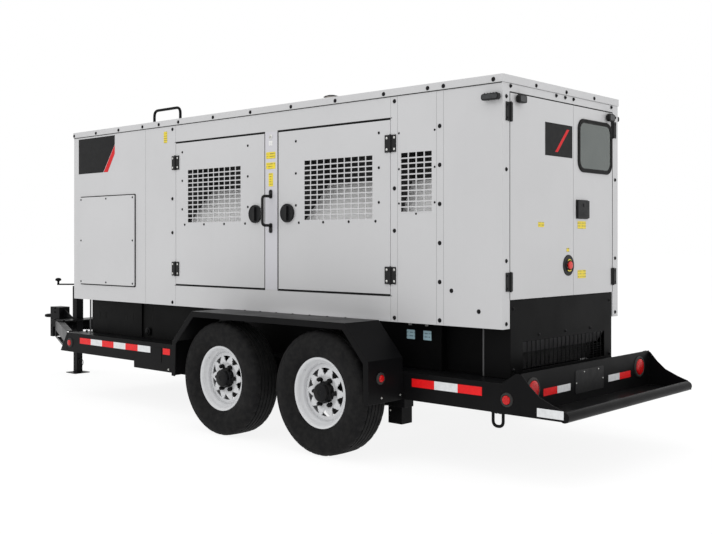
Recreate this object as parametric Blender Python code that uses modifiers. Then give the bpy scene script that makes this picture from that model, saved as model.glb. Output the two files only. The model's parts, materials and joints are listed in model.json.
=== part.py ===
"""Towable diesel generator, built from separate sub-parts.

Metres, +Z up. +X points to the rear tray, -X to the towing eye, and -Y is the left side.
The origin lies on the ground, under the middle of the length and width.
Most pieces come in left and right pairs: the left one is modelled and the right one is its
mirror image about the centre plane.
"""
import math

import bmesh
import bpy
from mathutils import Matrix, Vector

GAP = 0.0003                 # clearance between pieces that touch

# Heights above the ground
RAIL_BOTTOM = 0.368
RAIL_TOP = 0.534
SUBRAIL_BOTTOM = 0.316
DECK_THICKNESS = 0.005
CANOPY_BOTTOM = 0.827
BASE_PLATE = 0.006
CANOPY_TOP = 2.248
ROOF_TOP = 2.295

# Half widths
RAIL_INNER = 0.700
RAIL_OUTER = 0.787
TANK_SIDE = 0.600
WALL_SIDE = 0.694
WALL_DEPTH = 0.040
ROOF_SIDE = 0.700
POST_INNER = 0.620
FENDER_SIDE = 1.107

# Lengthwise positions
RAIL_FRONT_TOP = -1.640
RAIL_FRONT_BOTTOM = -1.750
SUBRAIL_FRONT = -0.634
SUBRAIL_REAR = 2.200
RAIL_REAR = 2.905
CANOPY_FRONT = -1.680
CANOPY_REAR = 2.850
TANK_FRONT = -1.566
TANK_REAR = 2.655
JACK_X = -2.750

# Sheet and web thicknesses
FRAME_SHEET = 0.006
RAIL_FLANGE = 0.008
WALL_SHEET = 0.004
DOOR_SHEET = 0.003
DOOR_DEPTH = 0.030

# Running gear
TYRE_RADIUS = 0.391
WHEEL_CENTRES = (0.792, 1.744)
WHEEL_Y = 0.977
ARM_RUN = 0.115              # from an arm's pivot back to its wheel's centre
PIVOT_HEIGHT = 0.266
WHEEL_SEGMENTS = 20
WHEEL_TURN = math.pi / WHEEL_SEGMENTS        # turns a flat of the tread to the ground

# Side doors
DOOR_WIDTH = 1.030
DOOR_BOTTOM = 1.000
DOOR_TOP = 2.100
DOOR_OPENINGS = ((-0.205, 0.833), (0.970, 2.010))
OPENING_BOTTOM = 0.990
OPENING_TOP = 2.110
VENT_BOTTOM = 1.480
VENT_TOP = 1.885
VENT_BAR = 0.008

# Hinges: the pin stands this far outside the face that the leaves lie on
HINGE_STANDOFF = 0.007
HINGE_RADIUS = 0.006
SIDE_LEAF = 0.0465
REAR_LEAF = 0.0115           # narrow, so that it clears the window
HINGE_HEIGHT = 0.109
SIDE_HINGE_HEIGHTS = (1.118, 1.950)
REAR_HINGE_HEIGHTS = (1.098, 2.083)

# Rear doors
REAR_DOOR_BOTTOM = 0.9935
REAR_DOOR_TOP = 2.194
REAR_DOOR_SPLIT = 0.104

# Exhaust
STACK_X = 0.826
STACK_TOP = 2.440
STACK_RADIUS = 0.050

MACHINE_AXIS = 1.170         # height of the engine and alternator shaft


# ---------------------------------------------------------------- scene and materials

for old_object in list(bpy.data.objects):
    bpy.data.objects.remove(old_object)

PARTS = bpy.data.collections.new("towable_diesel_generator")
CUTTERS = bpy.data.collections.new("cutters")
bpy.context.scene.collection.children.link(PARTS)
bpy.context.scene.collection.children.link(CUTTERS)


def material(name, color, roughness, metallic=0.0):
    made = bpy.data.materials.new(name)
    made.use_nodes = True
    shader = made.node_tree.nodes["Principled BSDF"]
    shader.inputs["Base Color"].default_value = (*color, 1.0)
    shader.inputs["Roughness"].default_value = roughness
    shader.inputs["Metallic"].default_value = metallic
    return made


CANOPY_PAINT = material("canopy_paint", (0.58, 0.58, 0.57), 0.42)
FRAME_PAINT = material("frame_paint", (0.015, 0.015, 0.016), 0.38)
TANK_PAINT = material("tank_paint", (0.018, 0.018, 0.019), 0.45)
TYRE_RUBBER = material("tyre_rubber", (0.020, 0.020, 0.021), 0.80)
WHEEL_PAINT = material("wheel_paint", (0.72, 0.72, 0.73), 0.30, 0.30)
BARE_STEEL = material("bare_steel", (0.45, 0.45, 0.46), 0.35, 1.0)
BLACK_PLASTIC = material("black_plastic", (0.012, 0.012, 0.012), 0.50)
RED_PLASTIC = material("red_plastic", (0.60, 0.02, 0.015), 0.35)
WINDOW_GLASS = material("window_glass", (0.30, 0.34, 0.32), 0.10)
ENGINE_PAINT = material("engine_paint", (0.13, 0.17, 0.15), 0.45)
ALTERNATOR_PAINT = material("alternator_paint", (0.10, 0.11, 0.12), 0.50)
RADIATOR_METAL = material("radiator_metal", (0.25, 0.25, 0.26), 0.45, 0.8)
EXHAUST_METAL = material("exhaust_metal", (0.30, 0.28, 0.26), 0.50, 0.9)
CABINET_PAINT = material("cabinet_paint", (0.30, 0.31, 0.32), 0.45)


# ---------------------------------------------------------------- shape helpers

def new_object(name, data, finish, group):
    made = bpy.data.objects.new(name, data)
    if finish is not None:
        data.materials.append(finish)
    group.objects.link(made)
    if group is CUTTERS:
        made.hide_render = True
        made.display_type = "WIRE"
    return made


def solidified(source, name, finish, group):
    """Turn a curve, or a mesh with modifiers, into a welded mesh with its faces pointing out."""
    bpy.context.view_layer.update()
    graph = bpy.context.evaluated_depsgraph_get()
    mesh = bpy.data.meshes.new_from_object(source.evaluated_get(graph))
    mesh.transform(source.matrix_world)
    mesh.name = name
    mesh.materials.clear()
    edit = bmesh.new()
    edit.from_mesh(mesh)
    bmesh.ops.remove_doubles(edit, verts=edit.verts, dist=0.00001)
    bmesh.ops.recalc_face_normals(edit, faces=edit.faces)
    edit.to_mesh(mesh)
    edit.free()
    bpy.data.objects.remove(source)
    return new_object(name, mesh, finish, group)


PLANES = {
    "x": Matrix(((0, 0, 1, 0), (1, 0, 0, 0), (0, 1, 0, 0), (0, 0, 0, 1))),
    "y": Matrix(((1, 0, 0, 0), (0, 0, -1, 0), (0, 1, 0, 0), (0, 0, 0, 1))),
    "z": Matrix.Identity(4),
}


def prism(name, loops, axis, low, high, finish=None, group=CUTTERS, place=Matrix.Identity(4)):
    """Extrude flat loops along an axis. A loop inside another is a hole in it."""
    curve = bpy.data.curves.new(name, "CURVE")
    curve.dimensions = "2D"
    curve.fill_mode = "BOTH"
    curve.extrude = (high - low) / 2
    for loop in loops:
        spline = curve.splines.new("POLY")
        spline.points.add(len(loop) - 1)
        for point, (across, up) in zip(spline.points, loop):
            point.co = (across, up, 0.0, 1.0)
        spline.use_cyclic_u = True
    flat = new_object(name + "_outline", curve, None, CUTTERS)
    middle = (low + high) / 2
    offset = {"x": (middle, 0, 0), "y": (0, middle, 0), "z": (0, 0, middle)}[axis]
    flat.matrix_world = place @ Matrix.Translation(offset) @ PLANES[axis]
    return solidified(flat, name, finish, group)


def box(name, low, high, finish=None, group=CUTTERS, place=Matrix.Identity(4)):
    edit = bmesh.new()
    bmesh.ops.create_cube(edit, size=1.0)
    size = [top - bottom for bottom, top in zip(low, high)]
    middle = [(top + bottom) / 2 for bottom, top in zip(low, high)]
    bmesh.ops.scale(edit, vec=size, verts=edit.verts)
    bmesh.ops.translate(edit, vec=middle, verts=edit.verts)
    mesh = bpy.data.meshes.new(name)
    edit.to_mesh(mesh)
    edit.free()
    mesh.transform(place)
    return new_object(name, mesh, finish, group)


def turned(name, profile, centre, axis, finish=None, group=CUTTERS, segments=24, start=0.0):
    """Revolve a (radius, height) profile about a line through centre along an axis.

    A profile that ends on the axis stays open there; any other profile is closed to a ring.
    """
    mesh = bpy.data.meshes.new(name)
    count = len(profile)
    ring = [(index, index + 1) for index in range(count - 1)]
    if profile[0][0] > 0:
        ring.append((count - 1, 0))
    points = [(radius * math.cos(start), radius * math.sin(start), height)
              for radius, height in profile]
    mesh.from_pydata(points, ring, [])
    blank = new_object(name + "_profile", mesh, None, CUTTERS)
    screw = blank.modifiers.new("turn", "SCREW")
    screw.steps = segments
    screw.render_steps = segments
    screw.use_merge_vertices = True
    screw.merge_threshold = 0.00001
    turn = {
        "x": Matrix.Rotation(math.radians(90), 4, "Y"),
        "y": Matrix.Rotation(math.radians(-90), 4, "X"),
        "z": Matrix.Identity(4),
    }[axis]
    blank.matrix_world = Matrix.Translation(centre) @ turn
    return solidified(blank, name, finish, group)


def cylinder(name, radius, low, high, centre, axis, finish=None, group=CUTTERS, segments=16):
    """A solid cylinder between two heights measured along the axis from centre."""
    profile = [(0, high), (radius, high), (radius, low), (0, low)]
    return turned(name, profile, centre, axis, finish, group, segments)


def tube(name, points, radius, finish=None, group=CUTTERS, resolution=2):
    curve = bpy.data.curves.new(name, "CURVE")
    curve.dimensions = "3D"
    curve.bevel_depth = radius
    curve.bevel_resolution = resolution
    curve.use_fill_caps = True
    spline = curve.splines.new("POLY")
    spline.points.add(len(points) - 1)
    for point, position in zip(spline.points, points):
        point.co = (*position, 1.0)
    return solidified(new_object(name + "_path", curve, None, CUTTERS), name, finish, group)


def rectangle(left, bottom, right, top):
    return [(left, bottom), (right, bottom), (right, top), (left, top)]


def arc(centre, radius, start, end, steps):
    """Points on a circle from one angle to another, in degrees."""
    angles = [math.radians(start + (end - start) * step / steps) for step in range(steps + 1)]
    return [(centre[0] + radius * math.cos(a), centre[1] + radius * math.sin(a)) for a in angles]


def circle(centre, radius, count):
    return arc(centre, radius, 0, 360, count)[:-1]


def rounded_rectangle(left, bottom, right, top, radius, steps=4):
    corners = ((right - radius, top - radius, 0), (left + radius, top - radius, 90),
               (left + radius, bottom + radius, 180), (right - radius, bottom + radius, 270))
    points = []
    for across, up, angle in corners:
        points += arc((across, up), radius, angle, angle + 90, steps)
    return points


def filleted(points, radius, steps=3):
    """A route of straight runs with an arc at each inner corner."""
    route = [Vector(points[0])]
    for before, corner, after in zip(points, points[1:], points[2:]):
        corner = Vector(corner)
        back = (Vector(before) - corner).normalized()
        ahead = (Vector(after) - corner).normalized()
        half = back.angle(ahead) / 2
        centre = corner + (back + ahead).normalized() * (radius / math.sin(half))
        start = (corner + back * (radius / math.tan(half)) - centre).normalized()
        end = (corner + ahead * (radius / math.tan(half)) - centre).normalized()
        turns = [start.slerp(end, step / steps) for step in range(steps + 1)]
        route += [centre + turn * radius for turn in turns]
    route.append(Vector(points[-1]))
    return route


def inset(points, distance, closed=True):
    """Move a chain of points to its left by a distance, with mitred corners."""
    count = len(points)
    moved = []
    for index in range(count):
        here = Vector(points[index])
        before = Vector(points[index - 1]) if closed or index else None
        after = Vector(points[(index + 1) % count]) if closed or index < count - 1 else None
        runs = []
        if before is not None:
            runs.append((here - before).normalized())
        if after is not None:
            runs.append((after - here).normalized())
        sides = [Vector((-run.y, run.x)) for run in runs]
        mitre = sum(sides, Vector((0, 0))).normalized()
        moved.append(tuple(here + mitre * (distance / mitre.dot(sides[0]))))
    return moved


def joined(target, *pieces):
    for piece in pieces:
        step = target.modifiers.new("join_" + piece.name, "BOOLEAN")
        step.operation = "UNION"
        step.solver = "EXACT"
        step.object = piece
    return target


def cut(target, *pieces):
    for piece in pieces:
        step = target.modifiers.new("cut_" + piece.name, "BOOLEAN")
        step.operation = "DIFFERENCE"
        step.solver = "EXACT"
        step.object = piece
    return target


def with_origin(target, point):
    """Put an object's origin on its joint's axis without moving its shape."""
    shift = Vector(point) - target.location
    target.data.transform(Matrix.Translation(-shift))
    target.location = point
    return target


def mirrored(source, name, origin=None):
    """The right-hand twin of a left-hand piece."""
    bpy.context.view_layer.update()
    graph = bpy.context.evaluated_depsgraph_get()
    mesh = bpy.data.meshes.new_from_object(source.evaluated_get(graph))
    mesh.transform(source.matrix_world)
    mesh.transform(Matrix.Scale(-1, 4, (0, 1, 0)))
    mesh.flip_normals()
    mesh.name = name
    twin = new_object(name, mesh, None, PARTS)
    if origin is not None:
        with_origin(twin, origin)
    return twin


# ---------------------------------------------------------------- trailer frame

def make_rails():
    """Side rails: channels open to the inside, with a shallower sub-rail over the axles."""
    outline = [(RAIL_FRONT_TOP, RAIL_TOP), (RAIL_REAR, RAIL_TOP), (RAIL_REAR, RAIL_BOTTOM),
               (RAIL_FRONT_BOTTOM, RAIL_BOTTOM)]
    rail = prism("rail_left", [outline], "y", -RAIL_OUTER, -RAIL_INNER, FRAME_PAINT, PARTS)
    flange = RAIL_FLANGE
    subrail = box("subrail", (SUBRAIL_FRONT, -RAIL_OUTER, SUBRAIL_BOTTOM),
                  (SUBRAIL_REAR, -RAIL_INNER, RAIL_BOTTOM + flange / 2))
    hollows = [rectangle(-1.600, RAIL_BOTTOM + flange, RAIL_REAR - flange, RAIL_TOP - flange),
               rectangle(SUBRAIL_FRONT + flange, SUBRAIL_BOTTOM + flange,
                         SUBRAIL_REAR - flange, RAIL_BOTTOM - flange)]
    channel = prism("rail_channel", hollows, "y", FRAME_SHEET - RAIL_OUTER, 0.010 - RAIL_INNER)
    bracket = box("rail_bracket", (2.030, -0.740, 0.200), (2.140, -0.640, 0.320))
    loop_top = RAIL_BOTTOM + 0.004
    route = [(2.830, -0.760, loop_top), (2.830, -0.760, 0.286), (2.898, -0.760, 0.286),
             (2.898, -0.760, loop_top)]
    loop = tube("tie_down_loop", filleted(route, 0.033, 4), 0.006)
    joined(rail, subrail)
    cut(rail, channel)
    joined(rail, bracket, loop)
    mirrored(rail, "rail_right")


def make_deck_frame():
    """Deck plate with L-shaped cross members under it, all of one section across the frame."""
    front, rear = -1.620, 2.895
    underside = RAIL_TOP - DECK_THICKNESS
    foot = RAIL_BOTTOM + 0.008
    half_web = FRAME_SHEET / 2
    count = 8
    outline = [(front, RAIL_TOP), (rear, RAIL_TOP), (rear, underside)]
    for index in range(count):
        middle = rear - 0.030 - index * (rear - front - 0.080) / (count - 1)
        outline += [(middle + half_web, underside), (middle + half_web, foot),
                    (middle - 0.037, foot), (middle - 0.037, foot + FRAME_SHEET),
                    (middle - half_web, foot + FRAME_SHEET), (middle - half_web, underside)]
    outline.append((front, underside))
    half = RAIL_INNER - GAP
    prism("deck_frame", [outline], "y", -half, half, FRAME_PAINT, PARTS)


TONGUE_REAR = Vector((-1.640, -0.790, 0.0))
TONGUE_FRONT = Vector((-3.050, -0.080, 0.0))


def make_tongue():
    """A-frame members: a web with a long slot, stiffened by three inward flanges."""
    run = TONGUE_FRONT - TONGUE_REAR
    length = run.length
    place = Matrix.Translation(TONGUE_REAR) @ Matrix.Rotation(math.atan2(run.y, run.x), 4, "Z")
    web_outline = [(0.006, RAIL_TOP), (length, RAIL_TOP), (length, 0.350), (0.130, RAIL_BOTTOM)]
    slot = [(0.200, 0.388), (1.500, 0.372), (1.500, 0.424), (0.260, 0.424)]
    member = prism("tongue_left", [web_outline, slot], "y", -FRAME_SHEET, 0.0,
                   FRAME_PAINT, PARTS, place)
    flanges = (
        ("top", [(0.160, 0.5278), (1.500, 0.5278), (1.500, 0.5338), (0.160, 0.5338)]),
        ("middle", [(0.160, 0.4242), (1.500, 0.4242), (1.500, 0.4302), (0.160, 0.4302)]),
        ("bottom", [(0.160, 0.3680), (1.500, 0.3514), (1.500, 0.3574), (0.160, 0.3740)]),
    )
    for level, outline in flanges:
        joined(member, prism("tongue_flange_" + level, [outline], "y", -0.060, -0.003,
                             place=place))
    mirrored(member, "tongue_right")


def make_coupler():
    outline = [(-3.180, 0.346), (-3.130, 0.346), (-3.130, 0.450), (-3.005, 0.450),
               (-3.005, 0.655), (-3.180, 0.655)]
    post = prism("coupler_post", [outline], "y", -0.060, 0.060, FRAME_PAINT, PARTS)
    gusset_outline = [(-3.020, 0.5345), (-2.835, 0.5345), (-2.835, 0.5500), (-3.020, 0.6400)]
    joined(post, prism("coupler_gusset", [gusset_outline], "y", -0.006, 0.006))

    bar, ring = 0.016, 0.054
    centre = (-3.330 + bar + ring, 0.0, 0.555)
    section = [(ring + across, up) for across, up in circle((0, 0), bar, 8)]
    eye = turned("tow_eye", section, centre, "z", FRAME_PAINT, PARTS, 20)
    shank = box("eye_shank", (-3.207, -0.030, 0.541), (-3.185, 0.030, 0.569))
    flange = box("eye_flange", (-3.190, -0.050, 0.505), (-3.180 - GAP, 0.050, 0.605))
    joined(eye, shank, flange)


def make_jack():
    half, wall, top = 0.038, 0.004, 0.880
    housing = box("jack_housing", (JACK_X - half, -half, 0.400), (JACK_X + half, half, top),
                  FRAME_PAINT, PARTS)
    plate = box("jack_plate", (-2.830, -0.250, RAIL_TOP + GAP), (-2.620, 0.250, 0.5463))
    inner = half - wall
    bore = box("jack_bore", (JACK_X - inner, -inner, 0.390), (JACK_X + inner, inner, top - 0.008))
    hole = cylinder("jack_hole", 0.0125, -0.020, 0.020, (JACK_X, 0, top), "z")
    joined(housing, plate)
    cut(housing, bore, hole)

    leg = box("jack_leg", (JACK_X - 0.032, -0.032, 0.004), (JACK_X + 0.032, 0.032, 0.620),
              FRAME_PAINT, PARTS)
    joined(leg, box("jack_foot", (JACK_X - 0.085, -0.085, 0.0), (JACK_X + 0.085, 0.085, 0.008)))

    crank = cylinder("jack_crank", 0.011, 0.864, 0.905, (JACK_X, 0, 0), "z", FRAME_PAINT, PARTS, 12)
    turn = Matrix.Rotation(math.atan2(-0.134, -0.148), 4, "Z")
    place = Matrix.Translation((JACK_X, 0, 0)) @ turn
    arm = box("crank_arm", (-0.018, -0.012, 0.893), (0.212, 0.012, 0.903), place=place)
    knob_profile = [(0, 0.963), (0.016, 0.961), (0.025, 0.951), (0.025, 0.940), (0.010, 0.930),
                    (0.010, 0.899), (0, 0.899)]
    knob = turned("crank_knob", knob_profile, place @ Vector((0.200, 0, 0)), "z", segments=16)
    joined(crank, arm, knob)
    with_origin(crank, (JACK_X, 0, 0.880))


def make_fenders():
    """Pressed fenders: a strip around the wheels with a turned-down outer lip."""
    outer = [(0.293, 0.368), (0.303, 0.617), (0.524, 0.842), (1.993, 0.842), (2.186, 0.625),
             (2.190, 0.368)]
    sheet, lip = 0.005, 0.040
    band = outer + list(reversed(inset(outer, -lip, closed=False)))
    fender = prism("fender_left", [band], "y", -FENDER_SIDE, -RAIL_OUTER - GAP,
                   FRAME_PAINT, PARTS)
    arch = inset(outer, -sheet, closed=False)
    arch = [(arch[0][0], 0.300)] + arch + [(arch[-1][0], 0.300)]
    cut(fender, prism("fender_arch", [arch], "y", sheet - FENDER_SIDE, 0.020 - RAIL_OUTER))
    mirrored(fender, "fender_right")


def make_rear_tray():
    """Tray behind the frame: one bent section from side to side, closed by two side plates."""
    front = RAIL_REAR + GAP
    sheet = FRAME_SHEET
    floor = RAIL_BOTTOM + sheet
    lip_centre, lip_radius = (3.300, 0.390), 0.030
    lip = arc(lip_centre, lip_radius, -132.8, 212.2, 16)
    section = [(front, RAIL_BOTTOM)] + lip
    section += [(3.033, floor), (3.033, 0.600), (3.027, 0.600), (3.027, RAIL_TOP),
                (front, RAIL_TOP), (front, RAIL_TOP - sheet), (3.027, RAIL_TOP - sheet),
                (3.027, floor), (front, floor)]
    tray = prism("rear_tray", [section], "y", -0.784, 0.784, FRAME_PAINT, PARTS)
    plate = [(front, 0.366), (front, 0.535), (2.993, 0.594), (3.010, 0.598), (3.039, 0.592),
             (3.090, 0.535), (3.147, 0.486), (3.234, 0.447), (3.300, 0.424), (3.324, 0.405),
             (3.324, 0.366)]
    for side, low in (("left", -RAIL_OUTER), ("right", RAIL_OUTER - sheet)):
        joined(tray, prism("tray_side_" + side, [plate], "y", low, low + sheet))


# ---------------------------------------------------------------- running gear

TREAD_CORNER = TYRE_RADIUS / math.cos(WHEEL_TURN)
TYRE_HALF = [(0.2075, 0.0700), (0.2075, 0.0785), (0.2240, 0.0785), (0.3000, 0.1210),
             (0.3720, 0.1080), (TREAD_CORNER, 0.0880)]
RIM_PROFILE = [(0.220, 0.0880), (0.220, 0.0792), (0.205, 0.0792), (0.205, -0.0792),
               (0.220, -0.0792), (0.220, -0.0880), (0.198, -0.0780), (0.198, 0.0000),
               (0.150, 0.0120), (0.055, 0.0120), (0.055, -0.1345), (0.0225, -0.1345),
               (0.0225, 0.0600), (0.055, 0.0600), (0.055, 0.0200), (0.150, 0.0200),
               (0.198, 0.0080), (0.198, 0.0780)]
HAND_HOLES = 10


def make_wheel(place, wheel_x):
    """A tyre and its rim on the left side, turned about the wheel's axle, and their twins."""
    centre = Vector((wheel_x, -WHEEL_Y, TYRE_RADIUS))
    tread = [(radius, -height) for radius, height in reversed(TYRE_HALF)]
    liner = [(0.374, -0.086), (0.374, 0.086)]
    profile = TYRE_HALF + tread + liner
    tyre = turned("tyre_left_" + place, profile, centre, "y", TYRE_RUBBER, PARTS,
                  WHEEL_SEGMENTS, WHEEL_TURN)
    outboard = [(radius, -height) for radius, height in RIM_PROFILE]
    rim = turned("wheel_left_" + place, outboard, centre, "y", WHEEL_PAINT, PARTS,
                 WHEEL_SEGMENTS, WHEEL_TURN)
    for index in range(HAND_HOLES):
        angle = 2 * math.pi * (index + 0.13) / HAND_HOLES
        point = centre + Vector((math.cos(angle), 0, math.sin(angle))) * 0.166
        turn = Matrix.Translation(point) @ Matrix.Rotation(-angle, 4, "Y")
        hole = prism(f"hand_hole_{place}_{index}", [circle((0.0, 0.0), 0.021, 3)], "y",
                     -0.060, 0.030, place=turn)
        cut(rim, hole)
    for piece, name in ((tyre, "tyre_right_" + place), (rim, "wheel_right_" + place)):
        mirrored(piece, name, (wheel_x, WHEEL_Y, TYRE_RADIUS))
        with_origin(piece, centre)


def make_axle(place, wheel_x):
    """A square torsion beam across the frame, with a trailing arm and spindle at each end."""
    pivot_x = wheel_x - ARM_RUN
    half, wall = 0.0497, 0.008
    end = RAIL_OUTER + 0.0027
    outer = rectangle(pivot_x - half, PIVOT_HEIGHT - half, pivot_x + half, PIVOT_HEIGHT + half)
    hollow = rectangle(pivot_x - half + wall, PIVOT_HEIGHT - half + wall,
                       pivot_x + half - wall, PIVOT_HEIGHT + half - wall)
    prism("axle_beam_" + place, [outer, hollow], "y", -end, end, BARE_STEEL, PARTS)

    slope = math.degrees(math.atan2(TYRE_RADIUS - PIVOT_HEIGHT, ARM_RUN))
    outline = arc((wheel_x, TYRE_RADIUS), 0.048, slope - 90, slope + 90, 8)
    outline += arc((pivot_x, PIVOT_HEIGHT), 0.048, slope + 90, slope + 270, 8)
    arm = prism("suspension_arm_left_" + place, [outline], "y", -0.830, -end - GAP,
                FRAME_PAINT, PARTS)
    spindle = [(0, 0.010), (0.070, 0.010), (0.070, -0.006), (0.019, -0.006), (0.019, -0.1245),
               (0, -0.1245)]
    joined(arm, turned("spindle_" + place, spindle, (wheel_x, -0.830, TYRE_RADIUS), "y",
                       segments=12))
    mirrored(arm, "suspension_arm_right_" + place, (pivot_x, 0.830, PIVOT_HEIGHT))
    with_origin(arm, (pivot_x, -0.830, PIVOT_HEIGHT))


# ---------------------------------------------------------------- base and canopy

FILLER = (2.100, 0.350)      # where the tank is filled, under the rear doors


def make_fuel_tank():
    """Tank that carries the canopy: a hollow box with a shallow strip and a recess each side."""
    side = TANK_SIDE
    right = [(TANK_REAR, side - 0.060), (2.340, side - 0.060), (2.340, side), (-0.640, side),
             (-0.640, side - 0.012), (-0.796, side - 0.012), (-0.796, side)]
    front = arc((TANK_FRONT + 0.040, side - 0.040), 0.040, 90, 180, 4)
    half = right + front
    outline = half + [(across, -up) for across, up in reversed(half)]
    bottom, top = RAIL_TOP + GAP, CANOPY_BOTTOM - GAP
    wall = 0.006
    tank = prism("fuel_tank", [outline], "z", bottom, top, TANK_PAINT, PARTS)
    room = prism("tank_room", [inset(outline, wall)], "z", bottom + wall, top - wall)
    neck = cylinder("tank_neck", 0.040, -0.030, 0.030, (*FILLER, top), "z", segments=12)
    cut(tank, room, neck)


def make_base_plate():
    """Floor of the canopy, which the engine and the alternator stand on."""
    half = WALL_SIDE - WALL_DEPTH - GAP
    floor = rectangle(CANOPY_FRONT, -half, 2.660, half)
    prism("base_plate", [floor, circle(FILLER, 0.045, 12)], "z", CANOPY_BOTTOM,
          CANOPY_BOTTOM + BASE_PLATE, TANK_PAINT, PARTS)


def vent_slots(left, right, bottom, top, count):
    width = (right - left - (count - 1) * VENT_BAR) / count
    slots = []
    for index in range(count):
        start = left + index * (width + VENT_BAR)
        slots.append(rectangle(start, bottom, start + width, top))
    return slots


def make_side_walls():
    """Folded side panels with two door openings, each with a rebate that the door closes on."""
    top = CANOPY_TOP - GAP
    loops = [rectangle(CANOPY_FRONT, CANOPY_BOTTOM, CANOPY_REAR, top)]
    ledge = 0.015
    rebates = []
    for left, right in DOOR_OPENINGS:
        loops.append(rectangle(left + ledge, OPENING_BOTTOM + ledge, right - ledge,
                               OPENING_TOP - ledge))
        rebates.append(rectangle(left, OPENING_BOTTOM, right, OPENING_TOP))
    inner = WALL_DEPTH - WALL_SIDE
    wall = prism("side_wall_left", loops, "y", -WALL_SIDE, inner, CANOPY_PAINT, PARTS)
    rebate = prism("door_rebate", rebates, "y", -WALL_SIDE - 0.010, inner - 0.0065)
    low, high = 0.850, 2.225
    pockets = [rectangle(-1.660, low, -0.627, high), rectangle(-0.587, low, -0.235, high),
               rectangle(-0.215, 2.135, 2.020, high), rectangle(-0.215, low, 2.020, 0.965),
               rectangle(0.853, 0.990, 0.950, 2.110), rectangle(2.030, low, 2.385, high),
               rectangle(2.420, low, 2.795, high)]
    pocket = prism("wall_pockets", pockets, "y", WALL_SHEET - WALL_SIDE, inner + 0.010)
    post = box("corner_post", (2.8102, inner - 0.006, CANOPY_BOTTOM + 0.0005),
               (CANOPY_REAR - 0.0002, -POST_INNER, top - 0.0005))
    vent = prism("wall_vent", vent_slots(2.094, 2.337, 1.509, VENT_TOP, 4), "y",
                 -WALL_SIDE - 0.010, -WALL_SIDE + 0.010)
    cut(wall, rebate, pocket, vent)
    joined(wall, post)
    mirrored(wall, "side_wall_right")


def make_front_wall():
    """Front panel with louvre slots, where the cooling air leaves."""
    half = WALL_SIDE - WALL_DEPTH - GAP
    loops = [rectangle(-half, CANOPY_BOTTOM + BASE_PLATE + GAP, half, CANOPY_TOP - GAP)]
    for index in range(10):
        low = 1.080 + 0.090 * index
        loops.append(rectangle(-0.480, low, 0.480, low + 0.035))
    wall = prism("front_wall", loops, "x", CANOPY_FRONT, CANOPY_FRONT + WALL_DEPTH,
                 CANOPY_PAINT, PARTS)
    cut(wall, box("front_pocket", (CANOPY_FRONT + WALL_SHEET, -0.620, 0.870),
                  (CANOPY_FRONT + WALL_DEPTH + 0.010, 0.620, 2.210)))


def make_rear_header():
    sheet = WALL_SHEET
    front, bottom, top = 2.810, 2.197, CANOPY_TOP - GAP
    section = [(front, top), (CANOPY_REAR, top), (CANOPY_REAR, bottom), (front, bottom),
               (front, bottom + sheet), (CANOPY_REAR - sheet, bottom + sheet),
               (CANOPY_REAR - sheet, top - sheet), (front, top - sheet)]
    half = POST_INNER - GAP
    prism("rear_header", [section], "y", -half, half, CANOPY_PAINT, PARTS)


def make_roof():
    front, rear = CANOPY_FRONT - 0.006, CANOPY_REAR + 0.006
    roof = box("roof", (front, -ROOF_SIDE, CANOPY_TOP), (rear, ROOF_SIDE, ROOF_TOP),
               CANOPY_PAINT, PARTS)
    fascia = 0.010
    under = box("roof_hollow", (front + fascia, fascia - ROOF_SIDE, CANOPY_TOP - 0.010),
                (rear - fascia, ROOF_SIDE - fascia, ROOF_TOP - WALL_SHEET))
    hole = cylinder("stack_hole", STACK_RADIUS + 0.015, -0.030, 0.030, (STACK_X, 0, ROOF_TOP),
                    "z", segments=16)
    cut(roof, under, hole)


def make_lifting_bails():
    """Bent bars on the roof's long edges, with turned-out feet."""
    bar = 0.011
    seat = ROOF_TOP + GAP + bar
    y = -0.620
    route = [(-0.598, y, seat), (-0.530, y, seat), (-0.530, y, 2.399), (-0.300, y, 2.399),
             (-0.300, y, seat), (-0.232, y, seat)]
    path = filleted(route[:2] + [route[2]], 0.018, 2)[:-1]
    path += filleted(route[1:5], 0.045, 4)[1:-1]
    path += filleted(route[3:], 0.018, 2)[1:]
    bail = tube("lifting_bail_left", path, bar, FRAME_PAINT, PARTS)
    mirrored(bail, "lifting_bail_right")


# ---------------------------------------------------------------- doors and their fittings

def knuckle(leaf, to_plane):
    """Section of a hinge's moving leaf and barrel, with the pin at (0, 0)."""
    face = -HINGE_STANDOFF - 0.0005
    points = [(leaf, face), (leaf, -HINGE_RADIUS / 2)]
    points += arc((0, 0), HINGE_RADIUS, -30, 300, 10)
    points.append((HINGE_RADIUS / 2, face))
    return [to_plane(along, out) for along, out in points]


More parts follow.
